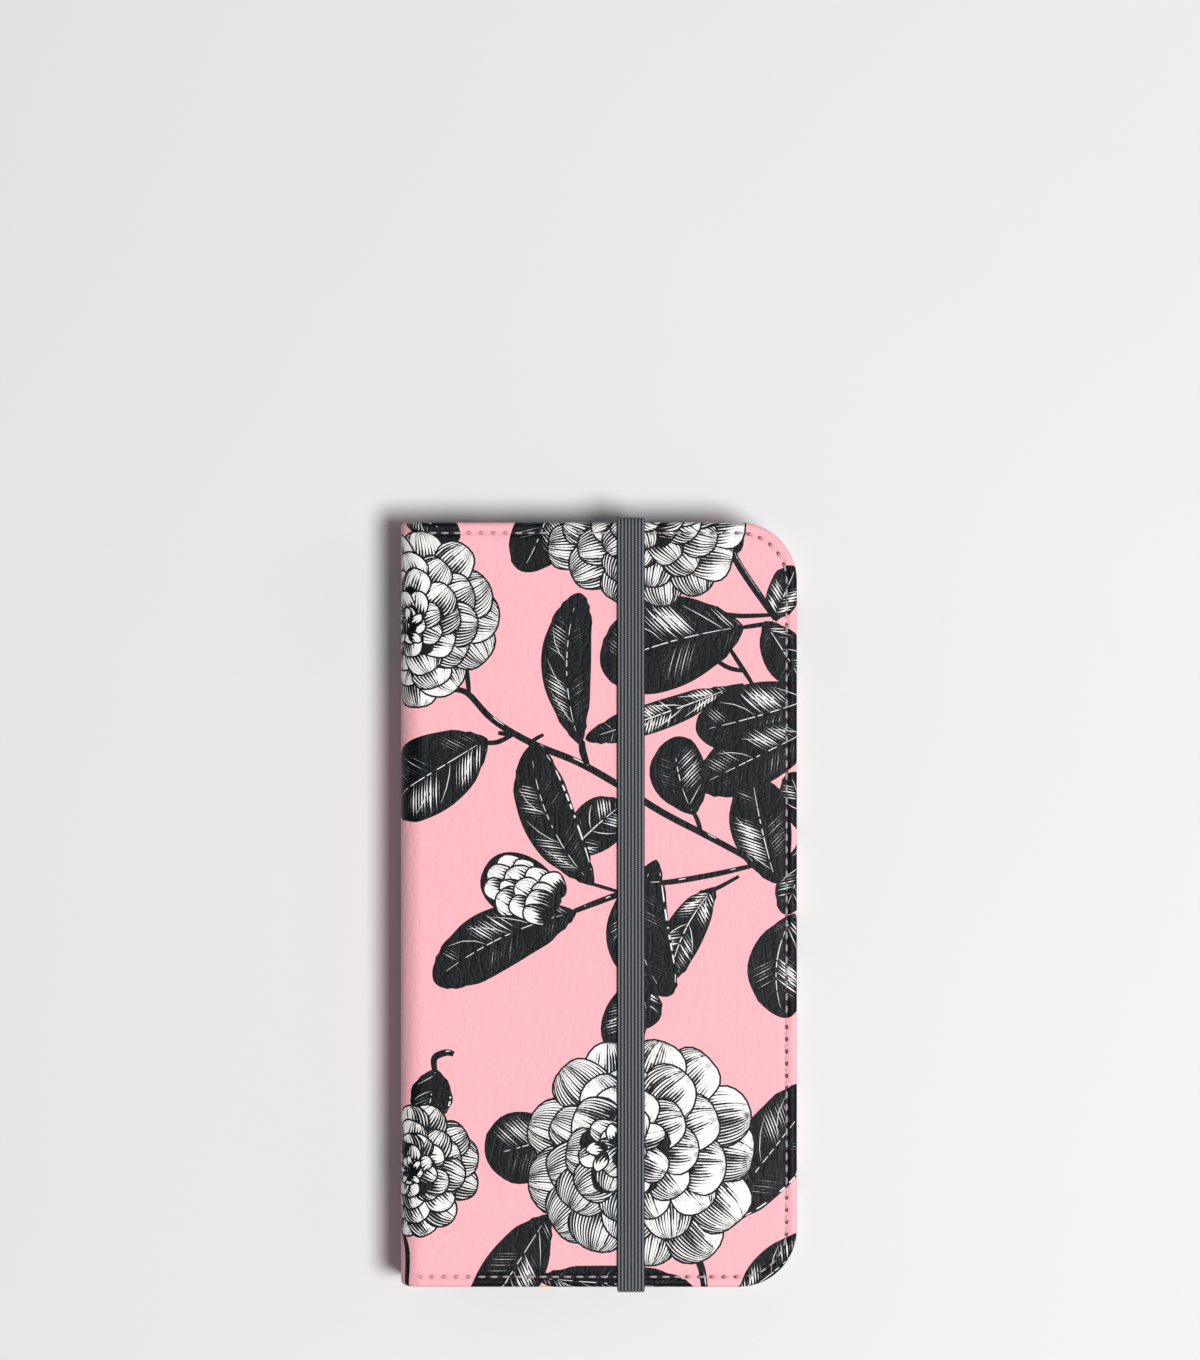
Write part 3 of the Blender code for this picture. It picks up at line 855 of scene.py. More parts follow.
class Cover:
    """One cover with its half of the spine: how a flat sheet wraps round it."""

    def __init__(self, side, corner):
        self.side = side
        self.corner = corner

    def wrapped(self, flat, depth):
        """Points at some depth below the leather's outer face, and the directions that face out there."""
        past = np.clip(CREASE_X - flat[:, 0], 0, None)
        turn = np.minimum(past / ROLL, pi / 2)
        down = np.clip(past - ROLL_LENGTH, 0, None)
        start = np.maximum(flat[:, 0], CREASE_X)
        x = start - (ROLL - depth) * np.sin(turn)
        z = CREASE_Z + (ROLL - depth) * np.cos(turn) - down
        facing = np.column_stack([-np.sin(turn), np.zeros(len(flat)), np.cos(turn)])
        if self.side == BACK:
            z = CASE_TOP - z
            facing[:, 2] *= -1
        return np.column_stack([x, flat[:, 1], z]), facing

    def past_core(self, flat, inset):
        """How far each spot lies past the border of the core, inset from the cover's edge, and which way."""
        radius = self.corner - inset
        over_x = flat[:, 0] - (OPENING_X - inset - radius)
        over_y = np.abs(flat[:, 1]) - (END_Y - inset - radius)
        sign = np.where(flat[:, 1] < 0, -1.0, 1.0)
        reach = np.hypot(over_x, over_y) + 1e-9
        in_corner = (over_x > 0) & (over_y > 0)
        past = np.where(in_corner, reach, np.maximum(over_x, over_y)) - radius
        ways = np.where(
            in_corner[:, None],
            np.column_stack([over_x / reach, sign * over_y / reach]),
            np.where((over_x > over_y)[:, None], [[1.0, 0.0]], np.column_stack([0 * sign, sign])),
        )
        return past, ways

    def rim_line(self, inset, past, step, stations):
        """Points round the three free edges, past millimetres outside the core's border."""
        radius = self.corner - inset
        core_x, core_y = OPENING_X - inset - radius, END_Y - inset - radius
        top = [(x, core_y + radius + past) for x in stations if x < core_x - step / 2]
        turns = ceil(self.corner * pi / 2 / step)
        bend = [
            (core_x + (radius + past) * sin(turn), core_y + (radius + past) * cos(turn))
            for turn in [pi / 2 * i / turns for i in range(turns + 1)]
        ]
        down = ceil(core_y / step)
        side = [(core_x + radius + past, core_y * (1 - i / down)) for i in range(1, down)]
        half = top + bend + side
        return half + [(core_x + radius + past, 0.0)] + [(x, -y) for x, y in reversed(half)]


class TurnedEdge:
    """Section of a sheet's edge: it rolls over by radius soft, drops, and rolls under by radius under."""

    def __init__(self, soft, under, depth, hem):
        self.soft, self.under, self.hem = soft, under, hem
        self.rolled = soft * pi / 2
        self.dropped = self.rolled + depth - soft - under
        self.folded = self.dropped + under * pi / 2

    def section(self, past):
        """How far out and how far down the sheet has gone, and its tilt in radians."""
        over = np.clip(past, 0, self.rolled) / self.soft
        back = np.clip(past - self.dropped, 0, self.folded - self.dropped) / self.under
        out = (
            self.soft * np.sin(over)
            - self.under * (1 - np.cos(back))
            - np.clip(past - self.folded, 0, None)
        )
        down = (
            self.soft * (1 - np.cos(over))
            + np.clip(past - self.rolled, 0, self.dropped - self.rolled)
            + self.under * np.sin(back)
        )
        return out, down, over + back

    def rings(self):
        """Distances past the core where the mesh needs a row of points, the sheet's own edge last."""
        over = [self.rolled * i / 5 for i in range(6)]
        under = [self.dropped + (self.folded - self.dropped) * i / 4 for i in range(5)]
        ends = [self.folded + self.hem] if self.hem else []
        return over + under + ends


def stadium(low, high, steps=14):
    """A slot outline with round ends, between two corners."""
    radius = (high[1] - low[1]) / 2
    middle = (high[1] + low[1]) / 2
    turns = [pi * i / steps for i in range(steps + 1)]
    right = [(high[0] - radius + radius * sin(turn), middle - radius * cos(turn)) for turn in turns]
    left = [(low[0] + radius - radius * sin(turn), middle + radius * cos(turn)) for turn in turns]
    return right + left


def stations_along(step):
    """Places along the unrolled sheet from mid-spine to the opening edge, closer together on the roll."""
    spine = np.linspace(MID_SPINE, CREASE_X - ROLL_LENGTH, max(3, ceil(6 / step)) + 1)[:-1]
    roll = np.linspace(CREASE_X - ROLL_LENGTH, CREASE_X, 13)[:-1]
    panel = np.linspace(CREASE_X, OPENING_X, ceil((OPENING_X - CREASE_X) / step) + 1)
    return [*spine, *roll, *panel]


def anticlockwise(outline):
    """The triangulation takes what lies left of an outline as its inside."""
    turned = sum(a[0] * b[1] - a[1] * b[0] for a, b in zip(outline, outline[1:] + outline[:1]))
    return outline if turned > 0 else outline[::-1]


def meshed(cover, edge, inset, step, shapes, extra_rings, hole):
    """Triangles of the flat sheet, cut along every drawn shape, with the topmost shape of each triangle."""
    stations = stations_along(step)
    rings = [cover.rim_line(inset, past, step, stations) for past in (*extra_rings, *edge.rings())]
    rows = [END_Y - edge.soft - i * step for i in range(ceil(2 * (END_Y - edge.soft) / step) + 1)]
    border = rings[-1]
    start = [(MID_SPINE, y) for y in reversed(rows) if abs(y) < border[0][1] - step / 3]
    points, outlines, edges, keys = [], [], [], []

    def add(outline, key):
        outlines.append(list(range(len(points), len(points) + len(outline))))
        points.extend(anticlockwise(outline))
        keys.append(key)

    add(list(border) + start, None)
    if hole:
        add(stadium(*hole), "hole")
    for ring in rings[:-1]:
        edges += [(i, i + 1) for i in range(len(points), len(points) + len(ring) - 1)]
        points.extend(ring)
    limit = border[-1][1], border[0][1]
    for shape, (shift_x, shift_y) in shapes:
        outline = [(x + shift_x, y + shift_y) for x, y in shape.outline]
        if cover.side == BACK:
            outline = [(2 * MID_SPINE - x, y) for x, y in outline]
        xs, ys = zip(*outline)
        if max(xs) > MID_SPINE and min(xs) < OPENING_X + 4 and max(ys) > limit[0] and min(ys) < limit[1]:
            add(outline, (shape, shift_x, shift_y))
    inner = min((*extra_rings, 0.0)) - step * 0.6
    grid = np.array([(x, y) for x in stations[1:] for y in rows])
    past, _ = cover.past_core(grid, inset)
    points.extend(map(tuple, grid[past < inner]))
    spots = [Vector(p) for p in points]
    flat, _, triangles, _, _, owners = delaunay_2d_cdt(spots, edges, outlines, 1, 1e-4)
    flat = np.array([tuple(p) for p in flat])
    holes = {i for i, key in enumerate(keys) if key == "hole"}
    kept = [(t, max(o)) for t, o in zip(triangles, owners) if 0 in o and not holes & set(o)]
    triangles = np.array([t for t, _ in kept])
    sides = flat[triangles[:, 1]] - flat[triangles[:, 0]], flat[triangles[:, 2]] - flat[triangles[:, 0]]
    area = sides[0][:, 0] * sides[1][:, 1] - sides[0][:, 1] * sides[1][:, 0]
    triangles[area < 0] = triangles[area < 0][:, ::-1]
    return flat, triangles, np.array([top for _, top in kept]), keys


def with_edge(cover, edge, flat, inset):
    """How far past the core each spot lies and which way, its core place, and how the edge takes it there."""
    past, ways = cover.past_core(flat, inset)
    core = flat - ways * np.clip(past, 0, None)[:, None]
    return past, ways, core, *edge.section(past)


def print_of(cover, flat, triangles, tops, keys):
    """Hatch phase, share of white and ink, at each corner of each triangle."""
    found = np.zeros((len(triangles), 3, 3))
    for top in np.unique(tops):
        if keys[top] is None:
            continue
        shape, shift_x, shift_y = keys[top]
        rows = tops == top
        spots = flat[triangles[rows]].reshape(-1, 2).copy()
        if cover.side == BACK:
            spots[:, 0] = 2 * MID_SPINE - spots[:, 0]
        phase, tone = shape.shading(spots - (shift_x, shift_y))
        found[rows] = np.column_stack([phase, tone, np.ones(len(spots))]).reshape(-1, 3, 3)
    return found.reshape(-1, 3)


def linked(name, mesh, material):
    """A new piece of the object, smooth, with its material."""
    piece = bpy.data.objects.new(name, mesh)
    bpy.context.scene.collection.objects.link(piece)
    mesh.materials.clear()
    mesh.materials.append(material)
    mesh.shade_smooth()
    return piece


def fill_attribute(mesh, name, values, domain="POINT"):
    """Three numbers on each point or corner of a mesh, under a name that a material reads."""
    made = mesh.attributes.new(name, "FLOAT_VECTOR", domain)
    made.data.foreach_set("vector", np.asarray(values, np.float32).ravel())


def closed_sheet(name, outer, facing, hidden, hidden_facing, triangles, outward):
    """A closed mesh from a sheet's shown face, its hidden face and a strip round every border."""
    count = len(outer)
    used = np.unique(triangles)
    new = np.full(count, -1)
    new[used] = np.arange(len(used))
    shown = new[triangles]
    if outward < 0:
        shown = shown[:, ::-1]
    sides = np.concatenate([shown[:, [0, 1]], shown[:, [1, 2]], shown[:, [2, 0]]])
    forward = {tuple(s) for s in sides.tolist()}
    open_sides = [(a, b) for a, b in sides.tolist() if (b, a) not in forward]
    strip = [(b, a, a + len(used), b + len(used)) for a, b in open_sides]
    under = shown[:, ::-1] + len(used)
    mesh = bpy.data.meshes.new(name)
    points = np.concatenate([outer[used], hidden[used]]) * MM
    mesh.from_pydata(points.tolist(), [], shown.tolist() + under.tolist() + strip)
    mesh.shade_smooth()
    normals = np.concatenate([facing[used], hidden_facing[used]])
    mesh.normals_split_custom_set_from_vertices(normals.tolist())
    return mesh, used


def bake_map(mesh, flat, used, shown_corners):
    """A UV map of the unrolled sheet: the shown face fills most of it, the hidden face a corner."""
    spots = flat[used]
    spots = (spots - spots.min(0)) / (spots.max(0) - spots.min(0))
    both = np.concatenate([spots * (0.9, 1.0), spots * (0.08, 0.5) + (0.915, 0.0)])
    corners = np.empty(len(mesh.loops), np.int32)
    mesh.loops.foreach_get("vertex_index", corners)
    places = both[corners]
    strip = np.arange(len(corners)) >= 2 * shown_corners
    places[strip] = both[corners[strip] % len(used) + len(used)]
    mesh.uv_layers.new(name="OFBake").uv.foreach_set("vector", places.astype(np.float32).ravel())


class FOLIO_OT_leather(bpy.types.Operator):
    """Wraps each cover in printed leather, with its edges turned and half the spine"""

    bl_idname = "folio.leather"
    bl_label = "Printed Leather"

    def execute(self, context):
        scene = context.scene
        look, seam = scene.folio_leather, scene.folio_seam
        corner, thickness, soft, under, step = sizes(
            look, "corner", "thickness", "soft_edge", "under_edge", "mesh_step"
        )
        seam_inset, groove = sizes(seam, "inset", "groove")
        material = printed_leather(scene)
        edge = TurnedEdge(soft, under, COVER_DEPTH, LINING_INSET - under - 0.08 + soft)
        window = camera_window()
        for side, name, replaced in (
            (FRONT, "front_leather", ("front_skin", "front_crease")),
            (BACK, "back_leather", ("back_skin", "back_crease", "spine_skin")),
        ):
            cover = Cover(side, corner)
            line = soft - seam_inset
            seam_rows = [line + off for off in (0.8, 0.4, 0.0, -0.4, -0.8)][::-1]
            hole = window if side == BACK else None
            flat, triangles, tops, keys = meshed(
                cover, edge, soft, step, drawn_print(scene.folio_print, side), seam_rows, hole
            )
            past, ways, core, out, down, tilt = with_edge(cover, edge, flat, soft)
            sewn_here = np.clip((flat[:, 0] - SEAM_START + SEAM_FADE) / (2 * SEAM_FADE), 0, 1)
            off_seam = past - line
            sunk = groove * sewn_here * np.exp(-(off_seam / SEAM_HALF_WIDTH) ** 2)
            points, facing = cover.wrapped(core, down + sunk)
            points[:, :2] += ways * out[:, None]
            normals = facing * np.cos(tilt)[:, None]
            normals[:, :2] += ways * np.sin(tilt)[:, None]
            slope = 2 * off_seam / SEAM_HALF_WIDTH ** 2 * sunk
            normals[:, :2] -= ways * slope[:, None]
            normals /= np.linalg.norm(normals, axis=1)[:, None]
            hidden = points - normals * thickness
            mesh, used = closed_sheet(name, points, normals, hidden, -normals, triangles, side)
            shown_corners = 3 * len(triangles)
            colours = np.zeros((len(mesh.loops), 3))
            order = print_of(cover, flat, triangles, tops, keys).reshape(-1, 3, 3)
            colours[:shown_corners] = (order[:, ::-1] if side == BACK else order).reshape(-1, 3)
            fill_attribute(mesh, "print", colours, "CORNER")
            unrolled = np.column_stack([flat * MM, np.full(len(flat), 0.02 * side)])[used]
            fill_attribute(mesh, "flat", np.tile(unrolled, (2, 1)))
            along = seam_length_at(cover, flat, soft, line)
            unsewn = np.where(off_seam < 0, -FAR, FAR)
            off = np.where(sewn_here > 0.4, off_seam, unsewn)
            seam_place = np.column_stack([along, off, 0 * along])[used]
            fill_attribute(mesh, "seam", np.concatenate([seam_place, np.full_like(seam_place, FAR)]))
            bake_map(mesh, flat, used, shown_corners)
            piece = linked(name, mesh, material)
            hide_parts(*replaced)
            blend_over_spine(piece, side)
        return {"FINISHED"}


def blend_over_spine(piece, side):
    """Bakes the sheet's transform into its mesh; the places on the spine and on the cover are worked out but
    not used.
    """
    heights = (FOLD_Z, CASE_TOP) if side == FRONT else (CASE_TOP - FOLD_Z, 0.0)
    on_spine, on_cover = (SPINE_X * MM, 0, heights[0] * MM), (FOLD_X * MM, 0, heights[1] * MM)
    if side == FRONT:
        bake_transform(piece)
    else:
        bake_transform(piece)


def camera_window():
    """Corners of the camera opening, from the hole in the back board."""
    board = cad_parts["back_board"].data
    top = max(v.co.y for v in board.vertices) / MM
    inside = [v.co / MM for v in board.vertices if 50 < v.co.y / MM < top - 1.5 and 5 < v.co.x / MM < 33]
    xs, ys = [p.x for p in inside], [p.y for p in inside]
    return (min(xs), min(ys)), (max(xs), max(ys))


def seam_spans(cover, inset, past):
    """Lengths of the seam's first straight, its bend and half its long side."""
    radius = cover.corner - inset
    straight = OPENING_X - inset - radius - SEAM_START
    return straight, (radius + past) * pi / 2, END_Y - inset - radius


def seam_length_at(cover, flat, inset, past):
    """How far along the seam each spot lies, from its start near the spine."""
    radius = cover.corner - inset
    straight, bend, half = seam_spans(cover, inset, past)
    over_x = flat[:, 0] - (OPENING_X - inset - radius)
    y = np.abs(flat[:, 1])
    over_y = y - half
    turn = np.arctan2(np.clip(over_x, 0, None), np.clip(over_y, 1e-6, None))
    along = np.where(over_x <= 0, straight + over_x, straight + turn / (pi / 2) * bend)
    along = np.where((over_y <= 0) & (over_x > 0), straight + bend + half - y, along)
    whole = 2 * (straight + bend + half)
    return np.where(flat[:, 1] < 0, whole - along, along)


# ---------------------------------------------------------------- stitches

def stitch_tree():
    """Geometry Nodes: arched stitches of round thread, evenly spaced along a curve."""
    tree = bpy.data.node_groups.new("Seam Stitches", "GeometryNodeTree")
    sockets = (
        ("Seam", "INPUT", "NodeSocketGeometry", None),
        ("Spacing", "INPUT", "NodeSocketFloat", 0.0023),
        ("Stitch Length", "INPUT", "NodeSocketFloat", 0.0017),
        ("Thread Radius", "INPUT", "NodeSocketFloat", 0.0002),
        ("Rise", "INPUT", "NodeSocketFloat", 0.0003),
        ("Plunge", "INPUT", "NodeSocketFloat", -0.0003),
        ("Thread", "INPUT", "NodeSocketMaterial", None),
        ("Stitches", "OUTPUT", "NodeSocketGeometry", None),
    )
    for name, way, kind, default in sockets:
        socket = tree.interface.new_socket(name, in_out=way, socket_type=kind)
        if default is not None:
            socket.default_value = default
    nodes, links = tree.nodes, tree.links
    given = nodes.new("NodeGroupInput").outputs
    spaced = nodes.new("GeometryNodeResampleCurve")
    spaced.mode = "LENGTH"
    links.new(given["Seam"], spaced.inputs["Curve"])
    links.new(given["Spacing"], spaced.inputs["Length"])
    tangent = nodes.new("GeometryNodeInputTangent")
    turned = nodes.new("FunctionNodeAlignRotationToVector")
    turned.axis, turned.pivot_axis = "X", "Z"
    links.new(tangent.outputs["Tangent"], turned.inputs["Vector"])
    half = nodes.new("ShaderNodeMath")
    half.operation = "MULTIPLY"
    half.inputs[1].default_value = 0.5
    links.new(given["Stitch Length"], half.inputs[0])
    back = nodes.new("ShaderNodeMath")
    back.operation = "MULTIPLY"
    back.inputs[1].default_value = -1.0
    links.new(half.outputs[0], back.inputs[0])
    arch = nodes.new("GeometryNodeCurveQuadraticBezier")
    arch.inputs["Resolution"].default_value = 5
    for end, x, z in (
        ("Start", back.outputs[0], "Plunge"),
        ("Middle", None, "Rise"),
        ("End", half.outputs[0], "Plunge"),
    ):
        place = nodes.new("ShaderNodeCombineXYZ")
        if x:
            links.new(x, place.inputs["X"])
        links.new(given[z], place.inputs["Z"])
        links.new(place.outputs[0], arch.inputs[end])
    round_thread = nodes.new("GeometryNodeCurvePrimitiveCircle")
    round_thread.inputs["Resolution"].default_value = 6
    links.new(given["Thread Radius"], round_thread.inputs["Radius"])
    swept = nodes.new("GeometryNodeCurveToMesh")
    swept.inputs["Fill Caps"].default_value = True
    links.new(arch.outputs["Curve"], swept.inputs["Curve"])
    links.new(round_thread.outputs["Curve"], swept.inputs["Profile Curve"])
    placed = nodes.new("GeometryNodeInstanceOnPoints")
    links.new(spaced.outputs["Curve"], placed.inputs["Points"])
    links.new(swept.outputs["Mesh"], placed.inputs["Instance"])
    links.new(turned.outputs["Rotation"], placed.inputs["Rotation"])
    real = nodes.new("GeometryNodeRealizeInstances")
    links.new(placed.outputs["Instances"], real.inputs["Geometry"])
    thread = nodes.new("GeometryNodeSetMaterial")
    links.new(real.outputs["Geometry"], thread.inputs["Geometry"])
    links.new(given["Thread"], thread.inputs["Material"])
    links.new(thread.outputs["Geometry"], nodes.new("NodeGroupOutput").inputs["Stitches"])
    return tree


def sewn(name, tree, lines, material, radius, spacing, up):
    """Stitches along some lines of points as a plain mesh, rising up (1) or down (-1) from them."""
    seam = bpy.data.curves.new(name, "CURVE")
    seam.dimensions = "3D"
    for points in lines:
        spline = seam.splines.new("POLY")
        spline.points.add(len(points) - 1)
        for spot, point in zip(spline.points, points):
            spot.co = (*(Vector(point) * MM), 1.0)
    holder = bpy.data.objects.new(name, seam)
    bpy.context.scene.collection.objects.link(holder)
    worker = holder.modifiers.new("Stitches", "NODES")
    worker.node_group = tree
    wanted = {
        "Spacing": spacing * MM,
        "Stitch Length": spacing * STITCH_SHARE * MM,
        "Thread Radius": radius * MM,
        "Rise": up * radius * STITCH_RISE * MM,
        "Plunge": -up * radius * STITCH_DIVE * MM,
        "Thread": material,
    }
    for socket in tree.interface.items_tree:
        if socket.in_out == "INPUT" and socket.name in wanted:
            worker[socket.identifier] = wanted[socket.name]
    graph = bpy.context.evaluated_depsgraph_get()
    mesh = bpy.data.meshes.new_from_object(holder.evaluated_get(graph))
    holder.modifiers.remove(worker)
    bpy.data.objects.remove(holder)
    mesh.name = name
    return mesh


def ink_under(mesh, cover, shapes):
    """Marks each stitch that crosses a dark part of the print."""
    count = len(mesh.vertices)
    points = np.empty(count * 3)
    mesh.vertices.foreach_get("co", points)
    points = points.reshape(-1, 3) / MM
    islands = bmesh.new()
    islands.from_mesh(mesh)
    inked, seen = np.zeros(count), np.zeros(count, bool)
    outlines = [
        np.array(shape.outline) + shift if cover.side == FRONT else
        (np.array(shape.outline) + shift) * (-1, 1) + (2 * MID_SPINE, 0)
        for shape, shift in shapes
    ]
    boxes = [(o.min(0), o.max(0)) for o in outlines]
    for vertex in islands.verts:
        if seen[vertex.index]:
            continue
        group, todo = [], [vertex]
        seen[vertex.index] = True
        while todo:
            now = todo.pop()
            group.append(now.index)
            for link in now.link_edges:
                other = link.other_vert(now)
                if not seen[other.index]:
                    seen[other.index] = True
                    todo.append(other)
        middle = points[group].mean(0)[:2]
        inked[group] = any(
            (low < middle).all() and (middle < high).all() and inside(outline, middle)
            for outline, (low, high) in zip(outlines, boxes)
        )
    islands.free()
    fill_attribute(mesh, "over", np.column_stack([inked] * 3))


def inside(outline, spot):
    """Whether a spot lies within an outline, by counting crossings."""
    x, y = outline[:, 0] - spot[0], outline[:, 1] - spot[1]
    x2, y2 = np.roll(x, -1), np.roll(y, -1)
    crosses = (y > 0) != (y2 > 0)
    where = x + (0 - y) * (x2 - x) / np.where(y2 == y, 1e-9, y2 - y)
    return (crosses & (where > 0)).sum() % 2 == 1


class FOLIO_OT_stitches(bpy.types.Operator):
    """Sews both faces of each cover along its three free edges"""

    bl_idname = "folio.stitches"
    bl_label = "Seams"

    def execute(self, context):
        scene = context.scene
        seam, look = scene.folio_seam, scene.folio_leather
        inset, pitch, radius, groove = sizes(seam, "inset", "pitch", "thread", "groove")
        corner = sizes(look, "corner")[0]
        tree = stitch_tree()
        outer_thread = sewing_thread("sewing_thread", seam.on_ground, seam.on_ink_sheen)
        inner_thread = sewing_thread("inner_thread", seam.inner, seam.inner)
        for side, name, body in ((FRONT, "front", "front_cover"), (BACK, "back", "back_cover")):
            cover = Cover(side, corner)
            line = cover.rim_line(inset, 0.0, 1.0, [SEAM_START + 0.6 * i for i in range(130)])
            for place, depth, material, up in (
                ("outer", groove, outer_thread, side),
                ("inner", COVER_DEPTH, inner_thread, -side),
            ):
                z = CASE_TOP - depth if side == FRONT else depth
                points = [(x, y, z) for x, y in line]
                length = sum(hypot(b[0] - a[0], b[1] - a[1]) for a, b in zip(line, line[1:]))
                spacing = length / round(length / pitch)
                mesh = sewn(f"{name}_{place}_stitches", tree, [points], material, radius, spacing, up)
                if place == "outer":
                    ink_under(mesh, cover, drawn_print(scene.folio_print, side))
                piece = linked(mesh.name, mesh, material)
                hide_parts(f"{name}_seam_thread")
                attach(piece, body)
        return {"FINISHED"}


# ---------------------------------------------------------------- linings and pockets

class FOLIO_OT_linings(bpy.types.Operator):
    """Lines each cover and its half of the spine with fine black leather"""

    bl_idname = "folio.linings"
    bl_label = "Linings"

    def execute(self, context):
        scene = context.scene
        corner = sizes(scene.folio_leather, "corner")[0]
        inside_look = scene.folio_inside
        material = fine_leather("lining", inside_look.lining, 0.5)
        edge = TurnedEdge(LINING_SOFT, LINING_UNDER, LINING_THICKNESS - LINING_UNDER, 0.0)
        window = camera_window()
        for side, name, replaced in (
            (FRONT, "front_lining_leather", ("front_lining",)),
            (BACK, "back_lining_leather", ("back_lining", "spine_lining")),
        ):
            cover = Cover(side, corner)
            hole = window if side == BACK else None
            inset = LINING_INSET + LINING_SOFT
            flat, triangles, _, _ = meshed(cover, edge, inset, LINING_STEP, [], [-LINING_STEP / 2], hole)
            _, ways, core, out, down, tilt = with_edge(cover, edge, flat, inset)
            points, facing = cover.wrapped(core, COVER_DEPTH - down)
            points[:, :2] += ways * out[:, None]
            normals = facing * -np.cos(tilt)[:, None]
            normals[:, :2] += ways * np.sin(tilt)[:, None]
            hidden, _ = cover.wrapped(core, np.full(len(core), COVER_DEPTH - LINING_THICKNESS + 0.01))
            hidden[:, :2] += ways * (out * 0.4)[:, None]
            mesh, used = closed_sheet(name, points, normals, hidden, facing, triangles, -side)
            bake_map(mesh, flat, used, 3 * len(triangles))
            piece = linked(name, mesh, material)
            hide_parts(*replaced)
            blend_over_spine(piece, side)
        return {"FINISHED"}


def pocket_leaf(name, low, high, corner, hem):
    """A leather leaf with rounded edges and lower corners, and a thicker folded hem along its top edge."""
    outline = [(high.x, high.y), (low.x, high.y)]
    turns = 8
    for centre_x, start in ((low.x + corner, pi), (high.x - corner, 1.5 * pi)):
        outline += [
            (centre_x + corner * cos(turn), low.y + corner + corner * sin(turn))
            for turn in [start + pi / 2 * i / turns for i in range(turns + 1)]
        ]
    body = bmesh.new()
    face = body.faces.new([body.verts.new((x, y, low.z + HEM_STAND)) for x, y in outline])
    raised = bmesh.ops.extrude_face_region(body, geom=[face])
    for vert in (v for v in raised["geom"] if isinstance(v, bmesh.types.BMVert)):
        vert.co.z = high.z
    bmesh.ops.recalc_face_normals(body, faces=body.faces)
    level = [e for e in body.edges if abs(e.verts[0].co.z - e.verts[1].co.z) < 1e-6]
    bmesh.ops.bevel(body, geom=level, offset=POCKET_EDGE, segments=3, profile=0.5, affect="EDGES")
    for drop in (hem + 0.25, hem):
        everything = [*body.verts, *body.edges, *body.faces]
        bmesh.ops.bisect_plane(
            body, geom=everything, plane_co=(0, high.y - drop, 0), plane_no=(0, 1, 0)
        )
    for vert in body.verts:
        if vert.co.y > high.y - hem - 0.01 and vert.co.z < low.z + 0.2:
            vert.co.z -= HEM_STAND
    bmesh.ops.triangulate(body, faces=body.faces)
    mesh = bpy.data.meshes.new(name)
    body.to_mesh(mesh)
    body.free()
    for vert in mesh.vertices:
        vert.co *= MM
    return mesh


class FOLIO_OT_pockets(bpy.types.Operator):
    """Makes the stepped card pockets and sews them down"""

    bl_idname = "folio.pockets"
    bl_label = "Card Pockets"

    def execute(self, context):
        scene = context.scene
        hem = sizes(scene.folio_inside, "hem")[0]
        radius = sizes(scene.folio_seam, "thread")[0] * POCKET_THREAD_SHARE
        material = fine_leather("pocket_leather", scene.folio_inside.pocket, 0.42)
        thread = sewing_thread("pocket_thread", scene.folio_seam.inner, scene.folio_seam.inner)
        tree = stitch_tree()
        lines, below = [], None
        for number in POCKETS:
            node = f"card_pocket_{number}"
            low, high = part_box(node)
            low, high = low / MM, high / MM
            mesh = pocket_leaf(f"card_leaf_{number}", low, high, POCKET_CORNER, hem)
            piece = linked(mesh.name, mesh, material)
            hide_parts(node)
            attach(piece, "front_cover")
            cut = POCKET_SEAM_INSET
            left, right, bottom, top = low.x + cut, high.x - cut, low.y + cut, high.y - 1
            if below is None:
                rows = [[
                    (left, top), (left, bottom + cut), (left + cut, bottom),
                    (right - cut, bottom), (right, bottom + cut), (right, top),
                ]]
            else:
                rows = [[(x, below + 1), (x, top)] for x in (left, right)]
            under_hem = high.y - hem - 0.5
            rows.append([(low.x + 2.5, under_hem), (high.x - 2.5, under_hem)])
            lines += [[(x, y, low.z + 0.05) for x, y in row] for row in rows]
            below = high.y
        mesh = sewn("pocket_stitches", tree, lines, thread, radius, POCKET_PITCH, -1)
        piece = linked(mesh.name, mesh, thread)
        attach(piece, "front_cover")
        return {"FINISHED"}


# ---------------------------------------------------------------- elastic

